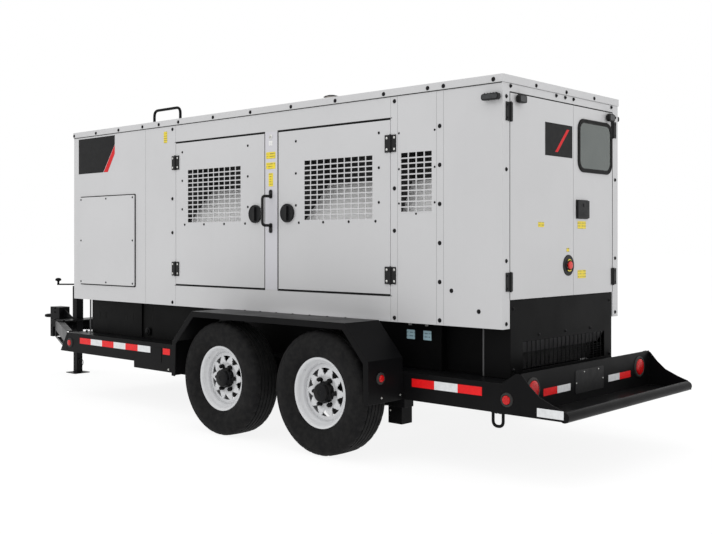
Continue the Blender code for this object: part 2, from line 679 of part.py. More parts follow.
def make_side_door(place, opening, hinge_at_front):
    """A side door: a shallow folded pan with vent slots, hinged at one vertical edge."""
    inward = 1 if hinge_at_front else -1
    edge = opening[0] + 0.004 if hinge_at_front else opening[1] - 0.004
    far = edge + inward * DOOR_WIDTH
    left, right = sorted((edge, far))
    name = "side_door_left_" + place
    face = -WALL_SIDE
    door = box(name, (left, face, DOOR_BOTTOM), (right, face + DOOR_DEPTH, DOOR_TOP),
               CANOPY_PAINT, PARTS)
    sheet = DOOR_SHEET
    pan = box("pan_" + name, (left + sheet, face + sheet, DOOR_BOTTOM + sheet),
              (right - sheet, face + DOOR_DEPTH + 0.010, DOOR_TOP - sheet))
    vent = sorted((edge + inward * 0.150, edge + inward * 0.771))
    slots = prism("vent_" + name, vent_slots(*vent, VENT_BOTTOM, VENT_TOP, 10), "y",
                  face - 0.010, face + 0.010)
    cut(door, pan, slots)
    pin_x = edge - inward * 0.0055
    pin_y = face - HINGE_STANDOFF
    section = knuckle(SIDE_LEAF, lambda along, out: (pin_x + inward * along, pin_y - out))
    for index, height in enumerate(SIDE_HINGE_HEIGHTS):
        joined(door, prism(f"hinge_{name}_{index}", [section], "z", height - HINGE_HEIGHT / 2,
                           height + HINGE_HEIGHT / 2))
    mirrored(door, "side_door_right_" + place, (pin_x, -pin_y, DOOR_BOTTOM))
    with_origin(door, (pin_x, pin_y, DOOR_BOTTOM))


def make_door_latch(place, centre_x, flat_side):
    """A round turning latch with one side cut flat, and a grip bar across it."""
    height, radius, flat = 1.530, 0.065, 0.050
    gap_angle = math.degrees(math.acos(flat / radius))
    start = gap_angle if flat_side > 0 else 180 + gap_angle
    outline = arc((centre_x, height), radius, start, start + 360 - 2 * gap_angle, 22)
    back = -WALL_SIDE - GAP
    latch = prism("door_latch_left_" + place, [outline], "y", back - 0.014, back,
                  BLACK_PLASTIC, PARTS)
    joined(latch, box("grip_" + place, (centre_x - 0.013, back - 0.030, height - 0.050),
                      (centre_x + 0.013, back - 0.010, height + 0.050)))
    mirrored(latch, "door_latch_right_" + place, (centre_x, -back, height))
    with_origin(latch, (centre_x, back, height))


def make_grab_handle():
    x, out, back = 0.898, -0.776, -WALL_SIDE - GAP
    route = [(x, back, 1.691), (x, out, 1.691), (x, out, 1.401), (x, back, 1.401)]
    handle = tube("grab_handle_left", filleted(route, 0.030, 4), 0.010, BLACK_PLASTIC, PARTS)
    mirrored(handle, "grab_handle_right")


def make_rear_door(name, left, right, hinge_y, inward, holes):
    rear, front = CANOPY_REAR, CANOPY_REAR - DOOR_DEPTH
    sheet = DOOR_SHEET
    loops = [rectangle(left, REAR_DOOR_BOTTOM, right, REAR_DOOR_TOP)] + holes
    door = prism(name, loops, "x", front, rear, CANOPY_PAINT, PARTS)
    cut(door, box("pan_" + name, (front - 0.010, left + sheet, REAR_DOOR_BOTTOM + sheet),
                  (rear - sheet, right - sheet, REAR_DOOR_TOP - sheet)))
    pin_x = rear + HINGE_STANDOFF
    section = knuckle(REAR_LEAF, lambda along, out: (pin_x + out, hinge_y + inward * along))
    for index, height in enumerate(REAR_HINGE_HEIGHTS):
        joined(door, prism(f"hinge_{name}_{index}", [section], "z", height - HINGE_HEIGHT / 2,
                           height + HINGE_HEIGHT / 2))
    with_origin(door, (pin_x, hinge_y, REAR_DOOR_BOTTOM))


def make_rear_doors():
    seam = 0.0015
    edge = POST_INNER - 0.0035
    pin = POST_INNER - 0.0005
    stop_hole = circle((0.040, 1.183), 0.0135, 12)
    pane = rounded_rectangle(0.175, 1.800, 0.585, 2.100, 0.050)
    make_rear_door("rear_door_left", -edge, REAR_DOOR_SPLIT - seam, -pin, 1, [stop_hole])
    make_rear_door("rear_door_right", REAR_DOOR_SPLIT + seam, edge, pin, -1, [pane])


def make_rear_fittings():
    face = CANOPY_REAR
    flange = rounded_rectangle(0.155, 1.777, 0.604, 2.120, 0.070)
    window = prism("rear_window", [flange], "x", face + GAP, face + 0.007, WINDOW_GLASS, PARTS)
    pane = rounded_rectangle(0.176, 1.801, 0.584, 2.099, 0.049)
    joined(window, prism("window_pane", [pane], "x", face - 0.007, face + 0.002))

    latch = box("rear_latch", (face + 0.0015, 0.137, 1.481), (face + 0.016, 0.284, 1.595),
                BLACK_PLASTIC, PARTS)
    edge = latch.modifiers.new("edges", "BEVEL")
    edge.width = 0.004
    edge.segments = 2
    with_origin(latch, (face + 0.008, 0.2105, 1.592))

    head, stem = 0.030, 0.010
    profile = [(0, 0.030), (head * 0.7, 0.028), (head, 0.020), (head, 0.012), (stem, 0.012),
               (stem, -0.015), (0, -0.015)]
    turned("emergency_stop", profile, (face, 0.040, 1.183), "x", RED_PLASTIC, PARTS, 20)


def make_rear_lower_panel():
    """Black U-shaped cover below the rear doors, with a slotted grille in its back."""
    front, rear, half, sheet = 2.664, 2.848, 0.610, 0.005
    plan = [(front, -half), (rear, -half), (rear, half), (front, half),
            (front, half - sheet), (rear - sheet, half - sheet),
            (rear - sheet, sheet - half), (front, sheet - half)]
    panel = prism("rear_lower_panel", [plan], "z", RAIL_TOP + GAP, 0.990, TANK_PAINT, PARTS)
    slots = vent_slots(-0.475, 0.508, 0.573, 0.740, 20)
    cut(panel, prism("grille_slots", slots, "x", rear - 0.020, rear + 0.010))


# ---------------------------------------------------------------- machinery inside

def make_engine():
    """In-line diesel engine: sump, block and rocker cover as one hollow casting on two feet."""
    half = [(0.140, 0.900), (0.160, 1.020), (0.240, 1.040), (0.240, 1.420), (0.150, 1.460),
            (0.150, 1.600), (0.130, 1.660)]
    outline = half + [(-across, up) for across, up in reversed(half)]
    front, rear, wall = -0.800, 0.620, 0.028
    engine = prism("engine", [outline], "x", front, rear, ENGINE_PAINT, PARTS)
    room = prism("engine_room", [inset(outline, wall)], "x", front + wall, rear - wall)
    drain = box("sump_drain", (-0.200, -0.060, 0.880), (0.200, 0.060, 0.950))
    floor = CANOPY_BOTTOM + BASE_PLATE + GAP
    for index, middle in enumerate((-0.660, 0.480)):
        joined(engine, box(f"engine_foot_{index}", (middle - 0.050, -0.300, floor),
                           (middle + 0.050, 0.300, 0.915)))
    cut(engine, room, drain)


def make_alternator():
    length, radius = 0.780, 0.280
    centre = (0.620 + GAP, 0, MACHINE_AXIS)
    profile = [(radius - 0.030, 0), (radius, 0.030), (radius, length - 0.060),
               (radius - 0.060, length), (0.060, length), (0.060, length - 0.040),
               (radius - 0.080, length - 0.040), (radius - 0.080, 0.040), (0.060, 0.040),
               (0.060, 0)]
    body = turned("alternator", profile, centre, "x", ALTERNATOR_PAINT, PARTS, 20)
    floor = CANOPY_BOTTOM + BASE_PLATE + GAP
    for index, middle in enumerate((0.780, 1.220)):
        joined(body, box(f"alternator_foot_{index}", (middle - 0.040, -0.220, floor),
                         (middle + 0.040, 0.220, 0.910)))


def make_cooling():
    floor = CANOPY_BOTTOM + BASE_PLATE + GAP
    box("radiator", (-1.100, -0.475, floor), (-0.980, 0.475, 1.750), RADIATOR_METAL, PARTS)
    centre = Vector((-0.900, 0, 1.240))
    hub = cylinder("radiator_fan", 0.060, -0.030, 0.100 - GAP, centre, "x", BLACK_PLASTIC,
                   PARTS, 18)
    for index in range(6):
        turn = Matrix.Rotation(math.radians(60 * index), 4, "X")
        pitch = Matrix.Rotation(math.radians(35), 4, "Z")
        place = Matrix.Translation(centre) @ turn @ pitch
        joined(hub, box(f"fan_blade_{index}", (-0.003, -0.045, 0.050), (0.003, 0.045, 0.360),
                        place=place))
    with_origin(hub, centre)


def make_exhaust():
    """Silencer over the alternator, with an outlet pipe through the roof and a rain cap."""
    level = 1.960
    body = cylinder("silencer", 0.120, -0.400, 0.400, (STACK_X, 0, level), "x", EXHAUST_METAL,
                    PARTS, 20)
    pipe = cylinder("stack", STACK_RADIUS, 0, STACK_TOP - level, (STACK_X, 0, level), "z")
    lug = box("stack_lug", (STACK_X - 0.072, -0.010, STACK_TOP - 0.030),
              (STACK_X - 0.045, 0.010, STACK_TOP - 0.0015))
    room = cylinder("silencer_room", 0.115, -0.395, 0.395, (STACK_X, 0, level), "x", segments=20)
    bore = cylinder("stack_bore", STACK_RADIUS - 0.004, 0.050, STACK_TOP - level + 0.010,
                    (STACK_X, 0, level), "z")
    joined(body, pipe, lug)
    cut(body, room, bore)

    seat = STACK_TOP + 0.0005
    profile = [(0, 0.0145), (0.034, 0.0115), (0.056, 0.004), (0.056, 0), (0, 0)]
    cap = turned("rain_cap", profile, (STACK_X, 0, seat), "z", EXHAUST_METAL, PARTS, 20)
    joined(cap, box("cap_lug", (STACK_X - 0.069, -0.012, seat + 0.0005),
                    (STACK_X - 0.045, 0.012, seat + 0.0055)))
    with_origin(cap, (STACK_X - 0.066, 0, seat + 0.003))


def make_control_cabinet():
    """Cabinet with the controls and breakers, facing the rear doors and open to the front."""
    floor = CANOPY_BOTTOM + BASE_PLATE + GAP
    front, rear, half, top, sheet = 2.350, 2.650, 0.550, 2.000, 0.003
    cabinet = box("control_cabinet", (front, -half, floor), (rear, half, top), CABINET_PAINT,
                  PARTS)
    cut(cabinet, box("cabinet_room", (front - 0.010, sheet - half, floor + sheet),
                     (rear - sheet, half - sheet, top - sheet)))


def main():
    make_rails()
    make_deck_frame()
    make_tongue()
    make_coupler()
    make_jack()
    make_fenders()
    make_rear_tray()
    for place, wheel_x in zip(("front", "rear"), WHEEL_CENTRES):
        make_axle(place, wheel_x)
        make_wheel(place, wheel_x)
    make_fuel_tank()
    make_base_plate()
    make_side_walls()
    make_front_wall()
    make_rear_header()
    make_roof()
    make_lifting_bails()
    make_side_door("front", DOOR_OPENINGS[0], True)
    make_side_door("rear", DOOR_OPENINGS[1], False)
    make_door_latch("front", 0.739, 1)
    make_door_latch("rear", 1.072, -1)
    make_grab_handle()
    make_rear_doors()
    make_rear_fittings()
    make_rear_lower_panel()
    make_engine()
    make_alternator()
    make_cooling()
    make_exhaust()
    make_control_cabinet()


main()
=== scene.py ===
import json
from math import acos, atan2, cos, hypot, radians, sin, tan, tau

import bmesh
import bpy
from mathutils import Matrix, Vector


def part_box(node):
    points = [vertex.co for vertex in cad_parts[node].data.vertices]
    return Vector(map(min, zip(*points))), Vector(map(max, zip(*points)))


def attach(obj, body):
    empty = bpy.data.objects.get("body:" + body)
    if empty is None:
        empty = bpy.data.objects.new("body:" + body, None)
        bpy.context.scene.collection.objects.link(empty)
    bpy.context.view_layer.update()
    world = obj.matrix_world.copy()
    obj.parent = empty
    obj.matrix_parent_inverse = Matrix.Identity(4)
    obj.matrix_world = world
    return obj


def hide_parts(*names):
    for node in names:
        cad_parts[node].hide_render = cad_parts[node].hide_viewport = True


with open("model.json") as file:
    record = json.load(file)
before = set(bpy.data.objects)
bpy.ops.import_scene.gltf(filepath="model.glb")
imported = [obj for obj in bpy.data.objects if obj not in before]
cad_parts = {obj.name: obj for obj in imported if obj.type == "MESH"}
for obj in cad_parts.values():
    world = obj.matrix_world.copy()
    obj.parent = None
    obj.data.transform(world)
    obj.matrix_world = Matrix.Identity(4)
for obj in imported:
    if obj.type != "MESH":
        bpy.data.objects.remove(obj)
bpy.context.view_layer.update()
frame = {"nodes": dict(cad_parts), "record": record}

SIDES = (("left", -1), ("right", 1))
PLACES = ("front", "rear")
ALONG, ACROSS, UP = (1, 0, 0), (0, 1, 0), (0, 0, 1)

# Faces and lines of the frame that the pieces stand on.
_low, _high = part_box("side_wall_left")
WALL_FRONT, WALL_REAR, WALL_FACE, WALL_LOW = _low.x, _high.x, -_low.y, _low.z
_low, _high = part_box("roof")
ROOF_FACE, ROOF_LOW, ROOF_HIGH = -_low.y, _low.z, _high.z
_low, _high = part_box("fuel_tank")
TANK_FRONT, TANK_FACE, TANK_LOW, TANK_HIGH = _low.x, -_low.y, _low.z, _high.z
RAIL_FACE = -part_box("rail_left")[0].y
DOOR_LOW, DOOR_HIGH = (corner.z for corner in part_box("side_door_left_front"))
WALL_TOP = 2.243
REAR_FACE = 2.85
BUMPER_FACE = 3.033

# Each side's two door vents and its wall vent, from front to rear.
VENTS = ((-0.051, 0.57), (1.235, 1.856))
WALL_VENT = (2.094, 2.337)
VENT_LOW, VENT_HIGH = 1.48, 1.885

# Hinge pins of the side doors, and heights of the hinges.
PINS = {"front": -0.2065, "rear": 2.0115}
SIDE_HINGES = (1.118, 1.95)
REAR_HINGES = (1.098, 2.083)
HINGE_HEIGHT = 0.109
SIDE_PIN_Y = 0.701
REAR_PIN_X, REAR_PIN_Y = 2.857, 0.6195

# Centre lines of the exhaust, the silencer and the alternator.
EXHAUST_X, SILENCER_Z, ALTERNATOR_Z = 0.826, 1.96, 1.17

# How far the exhaust manifold and the wiring loom lie from the centre line.
MANIFOLD_Y, LOOM_Y = 0.298, 0.262

# How deep a thin piece reaches into the face it stands on, and how far it stands out.
SUNK, FILM = 0.0005, 0.0012

# Axles, the suspension's pivots ahead of them, and the jack.
WHEEL_X = {"front": 0.792, "rear": 1.744}
WHEEL_Y, WHEEL_Z = 0.977, 0.391
PIVOT_AHEAD, PIVOT_Z = 0.115, 0.266
JACK_X = -2.75

# Colours of the road dust and of the soot that settle on paint.
DUST, SOOT = (0.3, 0.27, 0.22), (0.055, 0.052, 0.048)
MATERIALS = {}


# --- Materials

class Finish:
    """Node tree of one procedural material, laid out in the object's real-size coordinates."""

    def __init__(self, name):
        self.material = bpy.data.materials.new(name)
        self.material.use_nodes = True
        MATERIALS[name] = self.material
        self.tree = self.material.node_tree
        self.shader = self.tree.nodes["Principled BSDF"]
        self.place = self.node("ShaderNodeTexCoord").outputs["Object"]
        self.normal = None

    def node(self, kind, **settings):
        made = self.tree.nodes.new(kind)
        for key, value in settings.items():
            setattr(made, key, value)
        return made

    def feed(self, socket, value):
        if isinstance(value, bpy.types.NodeSocket):
            self.tree.links.new(value, socket)
        elif value is not None:
            socket.default_value = value

    def set(self, **values):
        """Sets the shader's sockets: a number or colour directly, or a link from another node."""
        for key, value in values.items():
            self.feed(self.shader.inputs[key.replace("_", " ").title().replace("Ior", "IOR")], value)

    def scaled(self, stretch):
        """The object coordinates stretched along X, Y and Z."""
        mapping = self.node("ShaderNodeMapping")
        self.feed(mapping.inputs["Vector"], self.place)
        mapping.inputs["Scale"].default_value = stretch
        return mapping.outputs["Vector"]

    def noise(self, scale, detail=3.0, roughness=0.55, stretch=None):
        made = self.node("ShaderNodeTexNoise")
        self.feed(made.inputs["Vector"], self.scaled(stretch) if stretch else self.place)
        made.inputs["Scale"].default_value = scale
        made.inputs["Detail"].default_value = detail
        made.inputs["Roughness"].default_value = roughness
        return made.outputs["Fac"]

    def cells(self, scale, feature="F1", stretch=None):
        made = self.node("ShaderNodeTexVoronoi", feature=feature)
        self.feed(made.inputs["Vector"], self.scaled(stretch) if stretch else self.place)
        made.inputs["Scale"].default_value = scale
        return made.outputs["Distance"]

    def wave(self, direction, scale):
        made = self.node("ShaderNodeTexWave", bands_direction=direction)
        self.feed(made.inputs["Vector"], self.place)
        made.inputs["Scale"].default_value = scale
        return made.outputs["Fac"]

    def ramp(self, value, low, high, to_low=0.0, to_high=1.0):
        made = self.node("ShaderNodeMapRange")
        self.feed(made.inputs["Value"], value)
        for key, number in (("From Min", low), ("From Max", high), ("To Min", to_low), ("To Max", to_high)):
            made.inputs[key].default_value = number
        return made.outputs["Result"]

    def mottle(self, scale, detail, low=0.0, high=1.0):
        """Soft patches between two values."""
        return self.ramp(self.noise(scale, detail), 0.3, 0.7, low, high)

    def maths(self, operation, first, second):
        made = self.node("ShaderNodeMath", operation=operation)
        self.feed(made.inputs[0], first)
        self.feed(made.inputs[1], second)
        return made.outputs["Value"]

    def blend(self, amount, first, second):
        made = self.node("ShaderNodeMix", data_type="RGBA")
        self.feed(made.inputs["Factor"], amount)
        for socket, colour in ((made.inputs[6], first), (made.inputs[7], second)):
            self.feed(socket, (*colour, 1.0) if isinstance(colour, tuple) else colour)
        return made.outputs[2]

    def height(self):
        """Height over the ground."""
        made = self.node("ShaderNodeSeparateXYZ")
        self.feed(made.inputs["Vector"], self.place)
        return made.outputs["Z"]

    def edges(self, radius):
        """1 on edges sharper than the radius, where paint wears first, and 0 on flats."""
        bevel = self.node("ShaderNodeBevel", samples=4)
        bevel.inputs["Radius"].default_value = radius
        flat = self.node("ShaderNodeNewGeometry")
        dot = self.node("ShaderNodeVectorMath", operation="DOT_PRODUCT")
        self.feed(dot.inputs[0], bevel.outputs["Normal"])
        self.feed(dot.inputs[1], flat.outputs["Normal"])
        return self.ramp(dot.outputs["Value"], 0.985, 0.86)

    def bump(self, height, distance, strength=1.0):
        made = self.node("ShaderNodeBump")
        self.feed(made.inputs["Height"], height)
        self.feed(made.inputs["Normal"], self.normal)
        made.inputs["Distance"].default_value = distance
        made.inputs["Strength"].default_value = strength
        self.normal = made.outputs["Normal"]
        self.feed(self.shader.inputs["Normal"], self.normal)


def tinted(colour, factor):
    """A colour made lighter or darker."""
    return tuple(c * factor for c in colour)


def coating(name, colour, roughness, peel=0.00012, chips=0.0, dust=0.12, dust_top=0.9, streaks=0.05,
        under=(0.16, 0.15, 0.14), film_colour=DUST, gloss=0.5):
    """Sprayed paint: slight shade variation, orange peel, rain streaks, road dust low down, chipped edges."""
    made = Finish(name)
    lighter = tuple(min(1.0, c * (1.0 + streaks) + streaks * 0.01) for c in colour)
    darker = tinted(colour, 1.0 - streaks)
    tone = made.blend(made.ramp(made.noise(1.6, 4), 0.35, 0.65), darker, lighter)
    streak = made.ramp(made.noise(14.0, 4, stretch=(1.0, 1.0, 0.06)), 0.54, 0.78, 0.0, streaks * 3.0)
    tone = made.blend(streak, tone, tinted(colour, 0.8))
    film = made.maths("MULTIPLY", made.ramp(made.height(), dust_top, 0.1, 0.0, dust),
        made.ramp(made.noise(9.0, 6, 0.65), 0.32, 0.68))
    tone = made.blend(film, tone, film_colour)
    rough = made.mottle(5.0, 5, roughness - 0.05, roughness + 0.06)
    rough = made.maths("ADD", rough, made.maths("MULTIPLY", film, 0.6))
    if chips:
        worn = made.maths("MULTIPLY", made.edges(0.003),
            made.ramp(made.noise(38.0, 6, 0.7), 0.5, 0.6, 0.0, chips))
        tone = made.blend(worn, tone, under)
        rough = made.maths("ADD", rough, made.maths("MULTIPLY", worn, 0.2))
    made.set(base_color=tone, roughness=rough, specular_ior_level=gloss)
    made.bump(made.noise(260.0, 2), peel)
    made.bump(made.noise(3.2, 2), 0.001)


def plastic(name, colour, roughness, grain=0.00015, scale=900.0, gloss=0.5):
    """Moulded plastic with a fine eroded grain and light scuffs."""
    made = Finish(name)
    scuff = made.ramp(made.noise(60.0, 6, 0.7), 0.58, 0.75, 0.0, 0.5)
    paler = tuple(c * 1.5 + 0.004 for c in colour)
    made.set(base_color=made.blend(scuff, colour, paler), specular_ior_level=gloss,
        roughness=made.mottle(25.0, 4, roughness - 0.06, roughness + 0.08))
    made.bump(made.noise(scale, 2), grain)


def metal(name, colour, roughness, brush=(1.0, 1.0, 1.0), stain=(0.2, 0.19, 0.17), stain_amount=0.35):
    """Bare or plated metal with drawn lines and dull patches."""
    made = Finish(name)
    patch = made.ramp(made.noise(18.0, 6, 0.65), 0.48, 0.7, 0.0, stain_amount)
    made.set(base_color=made.blend(patch, colour, stain), metallic=0.92,
        roughness=made.maths("ADD", made.mottle(12.0, 4, roughness - 0.06, roughness + 0.08),
        made.maths("MULTIPLY", patch, 0.35)))
    made.bump(made.noise(420.0, 3, stretch=brush), 0.0001)


def rubber(name, colour, roughness, dust=0.25, gloss=0.15):
    """Moulded rubber, greyed by scuffs and dust in its texture."""
    made = Finish(name)
    film = made.ramp(made.noise(22.0, 6, 0.7), 0.4, 0.72, 0.0, dust)
    tone = made.blend(made.mottle(4.0, 3), colour, tinted(colour, 1.35))
    made.set(base_color=made.blend(film, tone, (0.042, 0.04, 0.037)), specular_ior_level=gloss,
        roughness=made.mottle(30.0, 5, roughness - 0.07, roughness + 0.07))
    made.bump(made.noise(520.0, 3), 0.00022)


def tape(name, colour):
    """Retroreflective tape: a honeycomb of small sealed cells under a clear film."""
    made = Finish(name)
    wall = made.ramp(made.cells(190.0, "DISTANCE_TO_EDGE"), 0.0, 0.12, 1.0, 0.0)
    shade = made.blend(made.ramp(made.noise(40.0, 4), 0.35, 0.65), colour, tinted(colour, 0.86))
    made.set(base_color=made.blend(made.maths("MULTIPLY", wall, 0.45), shade,
        tuple(min(1.0, c * 1.15 + 0.012) for c in colour)), roughness=0.3, specular_ior_level=0.2)
    made.bump(wall, 0.00015)


def label(name, colour, mark, spacing=0.018):
    """A printed film label: plain bars of a second colour and a slightly lifted, scuffed surface."""
    made = Finish(name)
    wave = made.wave("Z", 0.314 / spacing)
    bars = made.ramp(wave, 0.74, 0.78, 0.0, 0.75)
    broken = made.ramp(made.noise(120.0, 1, stretch=(1.0, 1.0, 0.1)), 0.44, 0.5)
    made.set(base_color=made.blend(made.maths("MULTIPLY", bars, broken),
        made.blend(made.mottle(60.0, 4), colour, tinted(colour, 0.88)), mark),
        roughness=made.mottle(80.0, 3, 0.3, 0.42))
    made.bump(made.noise(150.0, 3), 0.0001)


def lens(name, colour):
    """A moulded lens: clear coloured plastic over a prismatic grid."""
    made = Finish(name)
    prisms = made.cells(240.0, "F1")
    made.set(base_color=made.blend(made.ramp(prisms, 0.1, 0.7), colour, tinted(colour, 0.45)),
        roughness=0.2, specular_ior_level=0.3)
    made.bump(prisms, 0.0006)


def glazing(name):
    """Tinted safety glass with a dusty film."""
    made = Finish(name)
    film = made.ramp(made.noise(7.0, 6, 0.6), 0.35, 0.7, 0.0, 0.12)
    made.set(base_color=made.blend(film, (0.15, 0.178, 0.166), (0.34, 0.35, 0.33)),
        roughness=made.ramp(film, 0.0, 0.4, 0.05, 0.22), transmission_weight=0.55)
    made.bump(made.noise(2.5, 2), 0.0006)


def foam(name):
    """Open-cell acoustic foam with a sooty skin."""
    made = Finish(name)
    pores = made.cells(420.0, "F1")
    made.set(base_color=made.blend(made.mottle(9.0, 5), (0.03, 0.03, 0.032), (0.06, 0.06, 0.06)),
        roughness=0.95)
    made.bump(pores, 0.0012)


def fins(name, colour):
    """Radiator core: close fins between flat tubes, with painted shade in the gaps."""
    made = Finish(name)
    wave = made.wave("Z", 60.0)
    tubes = made.wave("Y", 14.0)
    # Painted shade: near-black lines where the gaps between fins and tubes are.
    dark = made.maths("MULTIPLY", made.ramp(wave, 0.2, 0.8, 1.0, 0.0),
        made.ramp(tubes, 0.8, 0.95, 1.0, 0.0))
    tone = made.blend(made.maths("MULTIPLY", dark, 0.75), colour, (0.02, 0.02, 0.02))
    made.set(base_color=made.blend(made.ramp(made.noise(12.0, 5), 0.5, 0.75, 0.0, 0.5), tone, DUST),
        metallic=0.7, roughness=made.mottle(30.0, 4, 0.4, 0.6))
    made.bump(wave, 0.0008)


coating("canopy_paint", (0.505, 0.505, 0.512), 0.4, dust=0.08, dust_top=1.05, streaks=0.018)
coating("baffle_paint", (0.8, 0.8, 0.8), 0.5, dust=0.05, streaks=0.02)
coating("panel_paint", (0.53, 0.526, 0.556), 0.38, dust=0.05, streaks=0.015)
coating("frame_paint", (0.0038, 0.0038, 0.0042), 0.34, chips=0.45, dust=0.07, dust_top=0.6, streaks=0.1,
    under=(0.07, 0.066, 0.06), film_colour=SOOT, gloss=0.06)
coating("tank_paint", (0.0022, 0.0022, 0.0024), 0.42, chips=0.3, dust=0.04, streaks=0.1,
    under=(0.05, 0.048, 0.045), film_colour=SOOT, gloss=0.05)
rubber("tyre_rubber", (0.0065, 0.0065, 0.0069), 0.74, gloss=0.08)
rubber("seal_rubber", (0.006, 0.006, 0.006), 0.6, dust=0.1)
# Grey paint with chipped edges; its light grey is partly a painted highlight, on the tank's corners and on
# the rear lower panel's sheet.
coating("edge_highlight_and_wear", (0.06, 0.06, 0.062), 0.4, chips=0.2, dust=0.05)
rubber("worn_rubber", (0.022, 0.021, 0.02), 0.6, gloss=0.25)
coating("wheel_paint", (0.585, 0.592, 0.605), 0.3, peel=8e-05, dust=0.08, streaks=0.04)
metal("bare_steel", (0.46, 0.46, 0.45), 0.34)
metal("zinc", (0.62, 0.62, 0.6), 0.3, stain=(0.38, 0.37, 0.34))
metal("black_oxide", (0.013, 0.013, 0.014), 0.42, stain=(0.03, 0.028, 0.025))
plastic("black_plastic", (0.0065, 0.0065, 0.007), 0.46, gloss=0.22)
plastic("dark_plastic", (0.0085, 0.0088, 0.0095), 0.5, gloss=0.2)
plastic("grey_plastic", (0.2, 0.21, 0.22), 0.45)
plastic("red_plastic", (0.6, 0.016, 0.012), 0.3)
glazing("window_glass")
coating("engine_paint", (0.13, 0.17, 0.15), 0.42, dust=0.1, dust_top=2.2, chips=0.3, streaks=0.08)
coating("alternator_paint", (0.085, 0.09, 0.098), 0.45, dust=0.1, dust_top=2.2, streaks=0.08)
fins("radiator_metal", (0.36, 0.36, 0.36))
metal("exhaust_metal", (0.34, 0.32, 0.3), 0.48, stain=(0.22, 0.11, 0.05), stain_amount=0.7)
coating("cabinet_paint", (0.3, 0.31, 0.32), 0.46, peel=0.0003, dust=0.05)
tape("red_tape", (0.72, 0.006, 0.008))
tape("white_tape", (0.68, 0.69, 0.7))
label("yellow_label", (0.76, 0.6, 0.02), (0.05, 0.05, 0.05))
label("white_label", (0.78, 0.78, 0.77), (0.3, 0.3, 0.31), 0.01)
label("blue_label", (0.34, 0.5, 0.56), (0.05, 0.09, 0.11), 0.022)
plastic("black_label", (0.005, 0.005, 0.0055), 0.4, grain=4e-05, gloss=0.12)
plastic("red_label", (0.56, 0.005, 0.008), 0.4, grain=4e-05, gloss=0.2)
lens("red_lens", (0.74, 0.008, 0.01))
lens("amber_lens", (0.8, 0.28, 0.02))
lens("smoked_lens", (0.055, 0.057, 0.06))
rubber("joint_sealant", (0.15, 0.15, 0.155), 0.7, dust=0.05)
foam("foam")
rubber("shadow_gap", (0.006, 0.006, 0.006), 0.85, dust=0.02)
metal("cast_aluminium", (0.52, 0.52, 0.51), 0.48, stain=(0.3, 0.28, 0.25))
coating("filter_paint", (0.62, 0.62, 0.6), 0.35, dust=0.08, dust_top=2.0, chips=0.2)
coating("engine_black", (0.012, 0.012, 0.013), 0.42, dust=0.08, dust_top=2.2, chips=0.3)
plastic("yellow_plastic", (0.72, 0.5, 0.02), 0.42)
plastic("bottle_plastic", (0.66, 0.68, 0.64), 0.4)
lens("screen", (0.055, 0.105, 0.095))


# --- Geometry

def around(radius, count, start=0.0):
    """Points spaced evenly round a circle, from start, given in steps."""
    angles = (tau * (step + start) / count for step in range(count))
    return [(radius * cos(angle), radius * sin(angle)) for angle in angles]


def spaced(start, pitch, count):
    """Places evenly spaced along a line."""
    return [start + step * pitch for step in range(count)]


